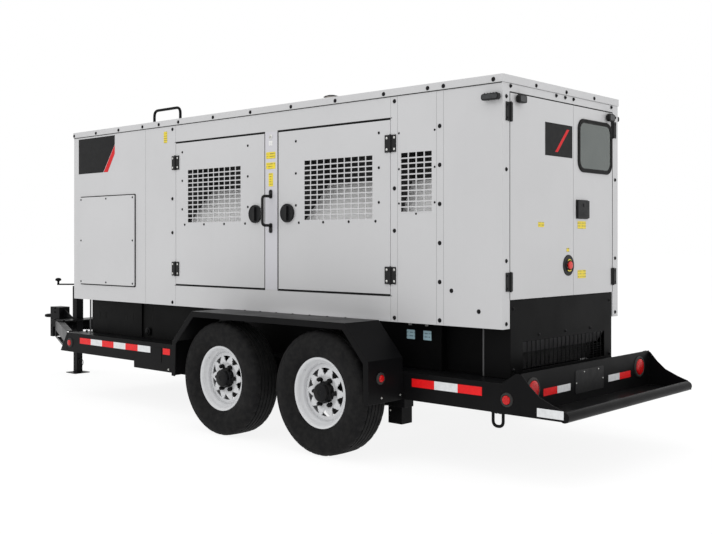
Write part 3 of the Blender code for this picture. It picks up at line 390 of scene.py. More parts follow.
class Shape:
    """The geometry of one piece, gathered where it belongs before it becomes an object."""

    def __init__(self):
        self.mesh = bmesh.new()

    def box(self, low, high, turn=None):
        """A box between two opposite corners; turn moves it afterwards."""
        a, b = Vector(map(min, low, high)), Vector(map(max, low, high))
        place = Matrix.Translation((a + b) / 2) @ Matrix.Diagonal((*b - a, 1.0))
        bmesh.ops.create_cube(self.mesh, size=1.0, matrix=turn @ place if turn else place)
        return self

    def rod(self, start, end, radius, end_radius=None, sides=16):
        """A cylinder or cone between two points."""
        start, end = Vector(start), Vector(end)
        run = end - start
        turn = run.to_track_quat("Z", "Y").to_matrix().to_4x4()
        bmesh.ops.create_cone(self.mesh, cap_ends=True, segments=sides, radius1=radius,
            radius2=radius if end_radius is None else end_radius, depth=run.length,
            matrix=Matrix.Translation((start + end) / 2) @ turn)
        return self

    def skin(self, rings, closed=False):
        """Faces between rings of points, and caps unless closed; a ring of one repeated point is a tip."""
        following = rings[1:] + rings[:1] if closed else rings[1:]
        for first, second in zip(rings, following):
            for step in range(len(first)):
                after = (step + 1) % len(first)
                corners = []
                for vertex in (first[step], first[after], second[after], second[step]):
                    if vertex not in corners:
                        corners.append(vertex)
                if len(corners) > 2:
                    self.mesh.faces.new(corners)
        if not closed:
            for ring in (rings[0], rings[-1]):
                if ring[0] is not ring[1]:
                    self.mesh.faces.new(ring)
        return self

    def turned(self, centre, axis, profile, sides=32, closed=False, wobble=None):
        """A profile of (radius, distance along the axis) pairs, turned about an axis through centre."""
        place = Matrix.Translation(Vector(centre)) @ Vector(axis).to_track_quat("Z",
            "Y").to_matrix().to_4x4()
        rings = []
        for row, (radius, along) in enumerate(profile):
            if radius < 1e-06:
                rings.append([self.mesh.verts.new(place @ Vector((0.0, 0.0, along)))] * sides)
                continue
            ring = []
            for step in range(sides):
                angle = tau * step / sides
                reach = radius + (wobble(row, step) if wobble else 0.0)
                ring.append(self.mesh.verts.new(place @ Vector((reach * cos(angle), reach * sin(angle),
                    along))))
            rings.append(ring)
        return self.skin(rings, closed)

    def plate(self, outline, axis, low, high, turn=None):
        """A flat outline, pushed along an axis from low to high."""
        order = {"x": lambda u, v, w: (w, u, v), "y": lambda u, v, w: (u, w, v),
            "z": lambda u, v, w: (u, v, w)}[axis]
        turn = turn or Matrix.Identity(4)
        bottom = [self.mesh.verts.new(turn @ Vector(order(u, v, low))) for u, v in outline]
        top = [self.mesh.verts.new(turn @ Vector(order(u, v, high))) for u, v in outline]
        self.mesh.faces.new(bottom)
        self.mesh.faces.new(top)
        for index in range(len(outline)):
            after = (index + 1) % len(outline)
            self.mesh.faces.new((bottom[index], bottom[after], top[after], top[index]))
        return self

    def tube(self, points, radius, sides=12, closed=False):
        """A round bar swept along points."""
        points = [Vector(p) for p in points]
        count = len(points)
        side = None
        rings = []
        for index, point in enumerate(points):
            if closed:
                run = points[(index + 1) % count] - points[index - 1]
            else:
                run = points[min(index + 1, count - 1)] - points[max(index - 1, 0)]
            run.normalize()
            if side is None:
                side = run.orthogonal().normalized()
            side = (side - run * side.dot(run)).normalized()
            other = run.cross(side)
            rings.append([self.mesh.verts.new(point + radius * (cos(a) * side + sin(a) * other))
                for a in (tau * s / sides for s in range(sides))])
        return self.skin(rings, closed)

    def pad(self, low, high, radius, axis, start, end, turn=None, steps=4):
        """A rectangle with round corners, pushed along an axis from start to end."""
        return self.plate(rounded(low, high, radius, steps), axis, start, end, turn)

    def hose(self, points, bend, radius, sides, steps=5):
        """A round bar along straight runs with bent corners."""
        return self.tube(smooth_path(points, bend, steps), radius, sides)

    def band(self, centre, axis, inner, outer, half, sides):
        """A flat ring round an axis."""
        return self.turned(centre, axis, [(inner, -half), (outer, -half), (outer, half), (inner, half)],
            sides, closed=True)

    def bolt(self, point, normal, radius=0.01, height=0.007):
        """A flanged dome-head bolt standing on a face."""
        profile = [(radius * 1.35, -0.0005), (radius * 1.3, height * 0.15), (radius * 1.02, height * 0.25),
            (radius, height * 0.55), (radius * 0.75, height * 0.9), (radius * 0.45, height),
            (radius * 0.4, height * 0.7), (0.0, height * 0.65)]
        return self.turned(point, normal, profile, 12)

    def nut(self, point, normal, radius=0.012, height=0.01):
        """A hexagon nut or head on a washer."""
        point, normal = Vector(point), Vector(normal).normalized()
        self.rod(point - normal * 0.0005, point + normal * height * 0.2, radius * 1.25, sides=20)
        self.rod(point + normal * height * 0.2, point + normal * height * 0.9, radius, sides=6)
        self.rod(point + normal * height * 0.9, point + normal * height, radius * 0.95, radius * 0.75, 6)
        return self


def shapes(count):
    """Several empty shapes at once."""
    return [Shape() for _ in range(count)]


def arc(centre, radius, start, end, steps):
    """Points on a flat arc, in degrees."""
    return [(centre[0] + radius * cos(radians(start + (end - start) * k / steps)),
        centre[1] + radius * sin(radians(start + (end - start) * k / steps))) for k in range(steps + 1)]


def rounded(low, high, radius, steps=4):
    """Outline of a rectangle with round corners."""
    x0, x1, y0, y1 = low[0] + radius, high[0] - radius, low[1] + radius, high[1] - radius
    corners = ((x1, y0, -90), (x1, y1, 0), (x0, y1, 90), (x0, y0, 180))
    return [point for x, y, start in corners for point in arc((x, y), radius, start, start + 90, steps)]


def smooth_path(points, radius, steps=5):
    """A route of straight runs whose corners are rounded to a radius."""
    points = [Vector(p) for p in points]
    route = [points[0]]
    for before, corner, after in zip(points, points[1:], points[2:]):
        back, ahead = (before - corner).normalized(), (after - corner).normalized()
        half = back.angle(ahead) / 2
        reach = min(radius / tan(half), (before - corner).length * 0.49, (after - corner).length * 0.49)
        start, end = corner + back * reach, corner + ahead * reach
        for step in range(steps + 1):
            t = step / steps
            route.append(start * (1 - t) ** 2 + corner * 2 * t * (1 - t) + end * t ** 2)
    route.append(points[-1])
    return route


def soften(item, width, segments=2, weld=False):
    """Rounds the sharp edges of an object and keeps its flats flat."""
    if weld:
        merge = item.modifiers.new("weld", "WELD")
        merge.merge_threshold = 5e-05
    bevel = item.modifiers.new("edges", "BEVEL")
    bevel.width = width
    bevel.segments = segments
    bevel.limit_method = "ANGLE"
    bevel.angle_limit = radians(32)
    bevel.use_clamp_overlap = True
    bevel.miter_outer = "MITER_ARC"
    item.data.shade_smooth()
    item.modifiers.new("normals", "WEIGHTED_NORMAL").keep_sharp = True


def piece(name, shape, material, body="root", bevel=0.0, segments=2, smooth=38, stands_for=()):
    """Makes an object of a shape: it rides on a body and takes the finish named by material."""
    mesh = bpy.data.meshes.new(name)
    bmesh.ops.recalc_face_normals(shape.mesh, faces=shape.mesh.faces[:])
    shape.mesh.to_mesh(mesh)
    shape.mesh.free()
    item = bpy.data.objects.new(name, mesh)
    bpy.context.scene.collection.objects.link(item)
    mesh.materials.append(MATERIALS[material])
    if bevel:
        soften(item, bevel, segments)
    else:
        mesh.shade_smooth()
        mesh.set_sharp_from_angle(angle=radians(smooth))
    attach(item, body)
    if stands_for:
        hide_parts(*stands_for)
    return item


def each_side(build):
    """Turns a builder of one side's pieces into one that builds the left side's and then the right's."""

    def both():
        for side, sy in SIDES:
            build(side, sy)
    return both


# --- CAD nodes that stay: better materials and rounded edges
EDGE_WIDTHS = {"canopy_paint": 0.0028, "frame_paint": 0.0022, "tank_paint": 0.0025, "black_plastic": 0.002,
    "engine_paint": 0.006, "cabinet_paint": 0.003, "alternator_paint": 0.004}


def finish_cad_nodes():
    """Gives each CAD node the material of its slot and rounds its edges."""
    slots = {row["node"]: row["material_slot"] for row in frame["record"]["subparts"]}
    for node, item in frame["nodes"].items():
        slot = slots[node]
        item.data.materials.clear()
        item.data.materials.append(MATERIALS[slot])
        soften(item, EDGE_WIDTHS.get(slot, 0.0015), weld=True)


# --- Canopy
FASCIA_BOLTS = (-1.669, -1.323, -0.982, -0.641, -0.419, -0.165, 0.26, 0.683, 1.107, 1.531, 1.956, 2.31,
    2.43, 2.79)


@each_side
def wall_bolts(side, sy):
    """Black dome bolts that hold the wall sheets, in their columns along both sides."""
    columns = ((-0.247, (2.217, 1.669, 1.402, 0.853)), (2.041, (2.214, 1.666, 1.4, 0.853)),
        (2.398, (2.03, 1.795, 1.559, 1.323, 1.088, 0.856)), (2.486, (1.038,)), (2.684, (0.923,)))
    bolts = Shape()
    for x, heights in columns:
        for z in heights:
            bolts.bolt((x, sy * WALL_FACE, z), (0, sy, 0), 0.0105)
    for x in FASCIA_BOLTS:
        bolts.bolt((x, sy * ROOF_FACE, 2.267), (0, sy, 0), 0.0105)
    for x in (WALL_VENT[0] - 0.016, WALL_VENT[1] + 0.023):
        for z in (2.01, 1.785, 1.57):
            bolts.bolt((x, sy * WALL_FACE, z), (0, sy, 0), 0.0055, 0.004)
    bolts.bolt((2.215, sy * WALL_FACE, 1.504), (0, sy, 0), 0.0055, 0.004)
    piece(f"wall_bolts_{side}", bolts, "black_oxide")


@each_side
def wall_seams(side, sy):
    """Sealed joints between the wall sheets, and the drip line under the roof's edge, partly painted shadow.
    """
    seal = Shape()
    seams = [(x, WALL_LOW + 0.004, WALL_TOP) for x in (-0.606, 2.067, 2.374, 2.427)]
    for place in PLACES:
        x = PINS[place] + (0.0 if place == "front" else -0.0015)
        seams += [(x, WALL_LOW + 0.004, DOOR_LOW - 0.012), (x, DOOR_HIGH + 0.012, WALL_TOP)]
    for x, low, high in seams:
        seal.box((x - 0.0007, sy * (WALL_FACE - 0.001), low), (x + 0.0007, sy * (WALL_FACE + 0.0003), high))
    piece(f"wall_seams_{side}", seal, "joint_sealant")
    # A dark strip under the roof's edge: partly gasket, partly painted shadow under the overhang.
    piece(f"roof_gasket_shadow_{side}", Shape().box((WALL_FRONT + 0.004, sy * (WALL_FACE - 0.001),
        ROOF_LOW - 0.0045), (WALL_REAR - 0.004, sy * (WALL_FACE + 0.0035), ROOF_LOW - 0.0002)),
        "shadow_gap")


@each_side
def door_seals_and_gap_shade(side, sy):
    """Rubber seals that fill the gaps round the side doors, set a little back from the faces; their dark is
    partly painted shade.
    """
    seal = Shape()
    for place in PLACES:
        low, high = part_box(f"side_door_left_{place}")
        for bottom, top in ((DOOR_HIGH + 0.0006, DOOR_HIGH + 0.0096),
                (DOOR_LOW - 0.0096, DOOR_LOW - 0.0006)):
            seal.box((low.x - 0.003, sy * 0.66, bottom), (high.x + 0.003, sy * 0.6925, top))
        for bottom, top in ((DOOR_HIGH + 0.009, DOOR_HIGH + 0.0132), (DOOR_LOW - 0.0128, DOOR_LOW - 0.009)):
            seal.box((low.x - 0.004, sy * 0.692, bottom), (high.x + 0.004, sy * 0.6948, top))
    for x0, x1 in ((0.8296, 0.8326), (0.9704, 0.9752)):
        seal.box((x0, sy * 0.66, DOOR_LOW - 0.009), (x1, sy * 0.6915, DOOR_HIGH + 0.009))
    # The dark fill in the door gaps is partly rubber seal, partly painted shade in the gaps.
    piece(f"door_gap_shade_seals_{side}", seal, "shadow_gap")
    trim = Shape()
    for x0, x1 in ((-0.1985, 0.833), (0.97, 2.0035)):
        for z0, z1 in ((DOOR_HIGH + 0.0098, DOOR_HIGH + 0.0142), (DOOR_LOW - 0.0142, DOOR_LOW - 0.0098)):
            trim.box((x0, sy * (WALL_FACE - 0.001), z0), (x1, sy * (WALL_FACE + 0.0009), z1))
    for x0, x1 in ((0.8328, 0.8362), (0.9668, 0.9702)):
        trim.box((x0, sy * (WALL_FACE - 0.001), DOOR_LOW - 0.0142),
            (x1, sy * (WALL_FACE + 0.0014), DOOR_HIGH + 0.0142))
    piece(f"door_edge_trim_{side}", trim, "seal_rubber", bevel=0.0004, segments=1)


@each_side
def access_panels(side, sy):
    """Raised removable panel at the front of each side, on a foam gasket whose dark rim is partly painted
    shadow.
    """
    x0, x1, z0, z1 = -1.567, -0.748, 0.964, 1.717
    piece(f"access_panel_{side}", Shape().pad((x0, z0), (x1, z1), 0.012, "y", sy * (WALL_FACE + 0.003),
        sy * (WALL_FACE + 0.014)), "canopy_paint", bevel=0.004, segments=3)
    # The dark gasket past the panel's edges is partly foam, partly painted shadow along the panel's edges.
    piece(f"access_panel_gasket_shadow_{side}", Shape().pad((x0 - 0.002, z0 - 0.009), (x1 + 0.006, z1 + 0.008),
        0.012, "y", sy * (WALL_FACE - 0.001), sy * (WALL_FACE + 0.0032)), "shadow_gap")
    screws = Shape()
    for x in (x0 + 0.022, (x0 + x1) / 2, x1 - 0.022):
        for z in (z0 + 0.02, (z0 + z1) / 2, z1 - 0.02):
            if (x, z) != ((x0 + x1) / 2, (z0 + z1) / 2):
                screws.bolt((x, sy * (WALL_FACE + 0.0138), z), (0, sy, 0), 0.0065, 0.005)
    piece(f"access_panel_screws_{side}", screws, "black_oxide")


@each_side
def mullion_fittings(side, sy):
    """Cover strip between the two side doors, with its key switch and blank labels."""
    piece(f"mullion_strip_{side}", Shape().pad((0.8385, 0.992), (0.9645, 2.108), 0.003, "y",
        sy * (WALL_FACE - 0.001), sy * (WALL_FACE + FILM), steps=2), "panel_paint", bevel=0.0006)
    lock = Shape()
    x = 0.896
    profile = [(0.0165, 0.0005), (0.0165, 0.003), (0.013, 0.0055), (0.0075, 0.0055), (0.0068, 0.002),
        (0.0, 0.002)]
    lock.turned((x, sy * WALL_FACE, 2.073), (0, sy, 0), profile, 24)
    lock.box((x - 0.0012, sy * (WALL_FACE + 0.0015), 2.068), (x + 0.0012, sy * (WALL_FACE + 0.0058), 2.078))
    piece(f"key_switch_{side}", lock, "zinc")
    piece(f"service_label_{side}", Shape().box((x - 0.02, sy * WALL_FACE, 2.012),
        (x + 0.02, sy * (WALL_FACE + 0.0018), 2.046)), "white_label")
    yellow = Shape()
    for x0, z0, x1, z1 in ((0.849, 1.919, 0.946, 1.966), (0.849, 1.846, 0.946, 1.892),
            (0.875, 1.722, 0.921, 1.817), (-0.358, 2.115, -0.316, 2.205)):
        yellow.pad((x0, z0), (x1, z1), 0.004, "y", sy * (WALL_FACE - SUNK), sy * (WALL_FACE + 0.0019),
            steps=2)
    piece(f"blank_labels_{side}", yellow, "yellow_label")


def hinge_leaf(shape, screws, corner, along, out, width, centre_z):
    """One leaf of a hinge and its two screws; corner is at the pin's side, on the face it is screwed to."""
    corner, along, out = Vector(corner), Vector(along), Vector(out)
    half = HINGE_HEIGHT / 2
    far = corner + along * width + out * 0.006
    shape.box((corner.x, corner.y, centre_z - half), (far.x, far.y, centre_z + half))
    at = corner + along * width * 0.66 + out * 0.006
    for z in (centre_z - half + 0.018, centre_z + half - 0.018):
        screws.bolt((at.x, at.y, z), out, 0.006, 0.003)


def hinge_barrel(cover, leaf, x, y, z):
    """The door's sleeve round a hinge pin, and the pin's two caps, which stay with the wall."""
    half = HINGE_HEIGHT / 2
    cover.rod((x, y, z - half - 0.0004), (x, y, z + half + 0.0004), 0.0069, sides=24)
    for end in (-1, 1):
        cap = z + end * (half + 0.0002)
        leaf.rod((x, y, cap), (x, y, cap + end * 0.004), 0.0062, 0.0045, 16)


@each_side
def door_hinges(side, sy):
    """The wall-side leaves, the pins' caps and all the hinges' screws."""
    leaves, screws = shapes(2)
    for place in PLACES:
        run = -1 if place == "front" else 1
        moving, covers = shapes(2)
        for z in SIDE_HINGES:
            covers.box((PINS[place] - run * 0.0472, sy * (WALL_FACE + 0.0001),
                z - HINGE_HEIGHT / 2 - 0.0006), (PINS[place], sy * (WALL_FACE + 0.0066),
                z + HINGE_HEIGHT / 2 + 0.0006))
            corner = (PINS[place] + run * 0.0075, sy * WALL_FACE, z)
            hinge_leaf(leaves, screws, corner, (run, 0, 0), (0, sy, 0), 0.036, z)
            hinge_barrel(covers, leaves, PINS[place], sy * SIDE_PIN_Y, z)
            for step in (-1, 1):
                moving.bolt((PINS[place] - run * 0.03, sy * (WALL_FACE + 0.0066), z + step * 0.036),
                    (0, sy, 0), 0.006, 0.003)
        piece(f"hinge_cover_{side}_{place}", covers, "black_plastic", f"side_door_{side}_{place}", 0.001)
        piece(f"hinge_screws_{side}_{place}", moving, "zinc", f"side_door_{side}_{place}")
    piece(f"hinge_leaves_{side}", leaves, "black_plastic", bevel=0.0015)
    piece(f"hinge_leaf_screws_{side}", screws, "zinc")


def vent_bars(x0, x1, rows=12):
    """Horizontal bars that turn a door's slots into a grid."""
    bars = []
    pitch = (VENT_HIGH - VENT_LOW) / rows
    for row in range(1, rows):
        middle = VENT_LOW + row * pitch
        bars.append((x0 - 0.001, middle - 0.0042, x1 + 0.001, middle + 0.0042))
    return bars


@each_side
def vents(side, sy):
    """Grid bars in the vents, pale inclined baffles behind them and dark foam liners round those."""
    for place, (x0, x1) in zip(PLACES, VENTS):
        grid = Shape()
        for a, low, b, high in vent_bars(x0, x1):
            grid.box((a, sy * (WALL_FACE - 0.0028), low), (b, sy * (WALL_FACE - 0.0003), high))
        piece(f"vent_grid_{side}_{place}", grid, "canopy_paint", f"side_door_{side}_{place}", 0.0005,
            segments=1)
    grid = Shape()
    for a, low, b, high in vent_bars(*WALL_VENT):
        grid.box((a, sy * (WALL_FACE - 0.0038), low), (b, sy * (WALL_FACE - 0.0003), high))
    piece(f"vent_grid_{side}_wall", grid, "canopy_paint", bevel=0.0005, segments=1)
    baffle, liner = shapes(2)
    for x0, x1 in (*VENTS, WALL_VENT):
        wide = x1 - x0 > 0.3
        depth = 0.235 if wide else 0.13
        reach = 0.045 if wide else 0.05
        front, back = 0.646, 0.646 - depth
        low = VENT_LOW - 0.012
        high = low + (0.247 if wide else 0.235)
        outline = [(sy * front, low), (sy * back, high), (sy * (back - 0.002), high + 0.02),
            (sy * (back + 0.001), high + 0.02), (sy * (front + 0.003), low)]
        baffle.plate(outline, "x", x0 - reach, x1 + 0.018)
        left, right, inner = x0 - reach - 0.004, x1 + 0.022, sy * (back - 0.042)
        liner.box((left, sy * 0.648, low), (x0 - reach - 0.002, sy * (back - 0.04), VENT_HIGH + 0.03))
        liner.box((x1 + 0.02, sy * 0.648, low), (right, sy * (back - 0.04), VENT_HIGH + 0.03))
        liner.box((left, sy * (back - 0.04), low), (right, inner, VENT_HIGH + 0.03))
        liner.box((left, sy * 0.648, VENT_HIGH + 0.03), (right, inner, VENT_HIGH + 0.032))
        liner.box((left, sy * 0.644, low - 0.003), (right, inner, low - 0.001))
    piece(f"intake_baffles_{side}", baffle, "baffle_paint", bevel=0.001)
    piece(f"intake_liners_{side}", liner, "foam")


@each_side
def side_doors(side, sy):
    """Bolts, foam lining and latch face of each side door."""
    bolts_front = [(x, z) for x in (-0.121, 0.65) for z in (2.028, 1.805, 1.583)]
    bolts_front += [(-0.09 + 0.2367 * step, 1.463) for step in range(4)]
    bolts_rear = [(x, z) for x in (1.151, 1.911) for z in (2.025, 1.803, 1.582)]
    bolts_rear += [(1.18 + 0.2343 * step, 1.462) for step in range(4)]
    for place, spots in zip(PLACES, (bolts_front, bolts_rear)):
        body = f"side_door_{side}_{place}"
        low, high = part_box(body)
        bolts = Shape()
        for x, z in spots:
            bolts.bolt((x, sy * WALL_FACE, z), (0, sy, 0), 0.0072, 0.005)
        piece(f"door_bolts_{side}_{place}", bolts, "black_oxide", body)
        left = low.x + 0.05 if place == "rear" else low.x + 0.06
        right = high.x - 0.06 if place == "rear" else high.x - 0.05
        lining = Shape()
        quilt(lining, left, right, DOOR_LOW + 0.035, VENT_LOW - 0.025, sy)
        quilt(lining, left, right, VENT_HIGH + 0.025, DOOR_HIGH - 0.035, sy)
        piece(f"door_foam_{side}_{place}", lining, "foam", body)
        latch = f"door_latch_{side}_{place}"
        centre_x, centre_z = (0.739 if place == "front" else 1.072), 1.53
        face = Shape()
        face.turned((centre_x, sy * 0.7078, centre_z), (0, sy, 0),
            [(0.064, 0.0), (0.0655, 0.0012), (0.064, 0.003), (0.06, 0.0032), (0.0585, 0.0008),
            (0.0, 0.0008)], 40)
        turn = 1 if place == "front" else -1
        for z in spaced(centre_z - 0.03, 0.03, 3):
            face.box((centre_x - turn * 0.046, sy * 0.7078, z - 0.0035),
                (centre_x - turn * 0.018, sy * 0.7102, z + 0.0035))
        piece(f"latch_face_{side}_{place}", face, "dark_plastic", latch, 0.0006, segments=1)


def quilt(shape, x0, x1, z0, z1, sy):
    """Egg-crate foam on the inner face of a door, with rounded cones in a square pattern."""
    pitch = 0.03
    columns, rows = int((x1 - x0) / pitch * 2), int((z1 - z0) / pitch * 2)
    back = sy * 0.6905
    grid = []
    for row in range(rows + 1):
        line = []
        for column in range(columns + 1):
            x = x0 + (x1 - x0) * column / columns
            z = z0 + (z1 - z0) * row / rows
            edge = row in (0, rows) or column in (0, columns)
            lift = 0.003 if edge else 0.01 + 0.008 * (1 if (row + column) % 2 else -1) * (row % 2)
            line.append(shape.mesh.verts.new((x, back - sy * lift, z)))
        grid.append(line)
    for lower, upper in zip(grid, grid[1:]):
        for step in range(columns):
            shape.mesh.faces.new((lower[step], lower[step + 1], upper[step + 1], upper[step]))
    border = grid[0] + [line[-1] for line in grid[1:]] + grid[-1][-2::-1] + [line[0]
        for line in grid[-2:0:-1]]
    backing = [shape.mesh.verts.new((v.co.x, back, v.co.z)) for v in border]
    for step in range(len(border)):
        after = (step + 1) % len(border)
        shape.mesh.faces.new((border[step], border[after], backing[after], backing[step]))
    shape.mesh.faces.new(backing)


@each_side
def grab_handles(side, sy):
    """Bent bar between the doors on two foot plates, one on each side of the canopy."""
    handle = Shape()
    x, out = 0.898, 0.776
    handle.hose([(x, sy * 0.696, 1.446), (x, sy * out, 1.446), (x, sy * out, 1.653),
        (x, sy * 0.696, 1.653)], 0.026, 0.01, 20, 8)
    for low, high in ((1.393, 1.462), (1.637, 1.699)):
        handle.pad((x - 0.016, low), (x + 0.016, high), 0.012, "y", sy * 0.6945, sy * 0.701)
    piece(f"grab_bar_{side}", handle, "black_plastic", bevel=0.0012, stands_for=(f"grab_handle_{side}",))
    screws = Shape()
    for z in (1.406, 1.43, 1.668, 1.688):
        screws.bolt((x, sy * 0.7008, z), (0, sy, 0), 0.005, 0.003)
    piece(f"grab_bar_screws_{side}", screws, "black_oxide")


@each_side
def lifting_bails(side, sy):
    """Forged lifting bails, each a bent bar with a flange welded round its legs."""
    bail = Shape()
    y, radius = sy * 0.62, 0.011
    low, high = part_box(f"lifting_bail_{side}")
    left, right, top = low.x + radius, high.x - radius, high.z - radius
    bail.hose([(left, y, ROOF_HIGH - 0.002), (left, y, top), (right, y, top),
        (right, y, ROOF_HIGH - 0.002)], 0.05, radius, 16, 8)
    for x in (left, right):
        bail.turned((x, y, ROOF_HIGH), UP, [(0.026, 0.0003), (0.026, 0.003), (0.014, 0.007), (0.01, 0.01),
            (0.0, 0.01)], 20)
    piece(f"bail_{side}", bail, "frame_paint", stands_for=(f"lifting_bail_{side}",))


def floodlight(name, body, centre, along, out, across=0.06, half=0.019):
    """A small black floodlight box with rounded ends on a bracket; out is the way it faces."""
    centre, along, out = Vector(centre), Vector(along), Vector(out)
    body_shape = Shape()
    place = Matrix((Vector((*along, 0)), Vector((*out, 0)), Vector((0, 0, 1, 0)),
        Vector((0, 0, 0, 1)))).transposed()
    place.translation = centre
    body_shape.pad((-across, -half), (across, half), 0.014, "y", 0.01, 0.036, turn=place)
    body_shape.pad((-0.02, -0.012), (0.02, 0.012), 0.004, "y", 0.0003, 0.012, turn=place)
    for step in range(5):
        x = (step - 2) * across / 3
        body_shape.box((x - 0.002, 0.014, half - 0.001), (x + 0.002, 0.032, half + 0.0045), turn=place)
    piece(name, body_shape, "black_plastic", body, 0.002)
    piece(name + "_lens", Shape().pad((-across + 0.008, 0.006 - half), (across - 0.008, half - 0.006),
        0.009, "y", 0.0355, 0.038, turn=place), "smoked_lens", body, 0.0008)


def floodlights():
    """The four floodlights: one at the rear of each side and one on each rear door."""
    for side, sy in SIDES:
        floodlight(f"floodlight_{side}", "root", (2.784, sy * (WALL_FACE + 0.001), 2.165), ALONG,
            (0, sy, 0))
    floodlight("floodlight_rear_left", "rear_door_left", (REAR_FACE, -0.53, 2.163), ACROSS, ALONG, 0.04,
        0.023)
    floodlight("floodlight_rear_right", "rear_door_right", (REAR_FACE, 0.553, 2.155), ACROSS, ALONG, 0.038,
        0.023)


def roof_fittings():
    """Roof seams and screws, the exhaust's weather collar and the roof's bolts."""
    seams, screws = shapes(2)
    for x in (-0.606, 0.47, 1.55, 2.1):
        seams.plate([(x - 0.016, ROOF_HIGH - 0.001), (x - 0.01, ROOF_HIGH + 0.0045),
            (x + 0.01, ROOF_HIGH + 0.0045), (x + 0.016, ROOF_HIGH - 0.001)], "y", -0.56, 0.56)
        for step in range(9):
            screws.bolt((x, -0.52 + step * 0.13, ROOF_HIGH + 0.0043), UP, 0.0055, 0.004)
    for x in FASCIA_BOLTS[1::2]:
        for sy in (-1, 1):
            screws.bolt((x, sy * 0.672, ROOF_HIGH), UP, 0.006, 0.005)
    piece("roof_seams", seams, "canopy_paint", bevel=0.001)
    piece("roof_screws", screws, "zinc")
    piece("exhaust_collar", Shape().turned((EXHAUST_X, 0.0, ROOF_HIGH), UP,
        [(0.105, 0.0003), (0.105, 0.003), (0.062, 0.005), (0.056, 0.03), (0.0535, 0.03), (0.0535, 0.0003)],
        40, closed=True), "zinc")
    bolts = Shape()
    for u, v in around(0.09, 6):
        bolts.nut((EXHAUST_X + u, v, ROOF_HIGH + 0.003), UP, 0.006, 0.006)
    for sign in (-1, 1):
        bolts.bolt((WALL_FRONT + 0.1, sign * 0.55, ROOF_HIGH), UP, 0.008)
        bolts.bolt((WALL_REAR - 0.1, sign * 0.55, ROOF_HIGH), UP, 0.008)
    piece("roof_bolts", bolts, "black_oxide")


def weather_cap():
    """Black domed rain cap with its rolled edge, hinge barrel and arms."""
    cap = Shape()
    low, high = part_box("rain_cap")
    x, hinge = EXHAUST_X, (0.76, 2.444)
    cap.turned((x, 0, 0), UP, [(0.0, low.z + 0.0002), (0.053, low.z + 0.0002), (0.055, low.z + 0.001),
        (0.0558, low.z + 0.003), (0.0545, low.z + 0.0048), (0.05, low.z + 0.006), (0.03, high.z - 0.002),
        (0.012, high.z - 0.0003), (0.0, high.z)], 56)
    cap.rod((hinge[0], -0.0185, hinge[1]), (hinge[0], 0.0185, hinge[1]), 0.0034, sides=20)
    for sy in (-1, 1):
        cap.box((hinge[0] - 0.003, sy * 0.012, hinge[1] - 0.0026), (x - 0.04, sy * 0.016, hinge[1] + 0.003))
    cap.box((hinge[0] + 0.001, -0.0118, low.z + 0.0006), (x - 0.03, 0.0118, low.z + 0.0062))
    piece("weather_cap", cap, "black_oxide", "rain_cap", 0.0006, segments=1, smooth=45,
        stands_for=("rain_cap",))


def side_decals():
    """A generic two-colour badge, without lettering, near the front of each side."""
    for side, sy in SIDES:
        dark, bright = shapes(2)
        face = sy * WALL_FACE
        dark.plate([(-1.603, 1.925), (-1.603, 2.23), (-1.046, 2.23), (-1.046, 2.154), (-1.219, 1.925)], "y",
            face - sy * SUNK, face + sy * FILM)
        bright.plate([(-1.046, 2.147), (-1.046, 2.074), (-1.15, 1.925), (-1.211, 1.925)], "y",
            face - sy * SUNK, face + sy * FILM)
        piece(f"side_badge_{side}", dark, "black_label")
        piece(f"side_badge_stripe_{side}", bright, "red_label")
    badge, stripe = shapes(2)
    x0, x1 = REAR_FACE - SUNK, REAR_FACE + FILM
    badge.plate([(-0.235, 1.858), (-0.235, 2.06), (0.088, 2.06), (0.088, 1.858)], "x", x0, x1)
    piece("rear_badge", badge, "black_label", "rear_door_left")
    stripe.plate([(-0.12, 1.885), (-0.09, 1.885), (0.05, 2.033), (0.02, 2.033)], "x", x0 + 0.001,
        x1 + 0.0005)
    piece("rear_badge_stripe", stripe, "red_label", "rear_door_left")


# --- Rear face

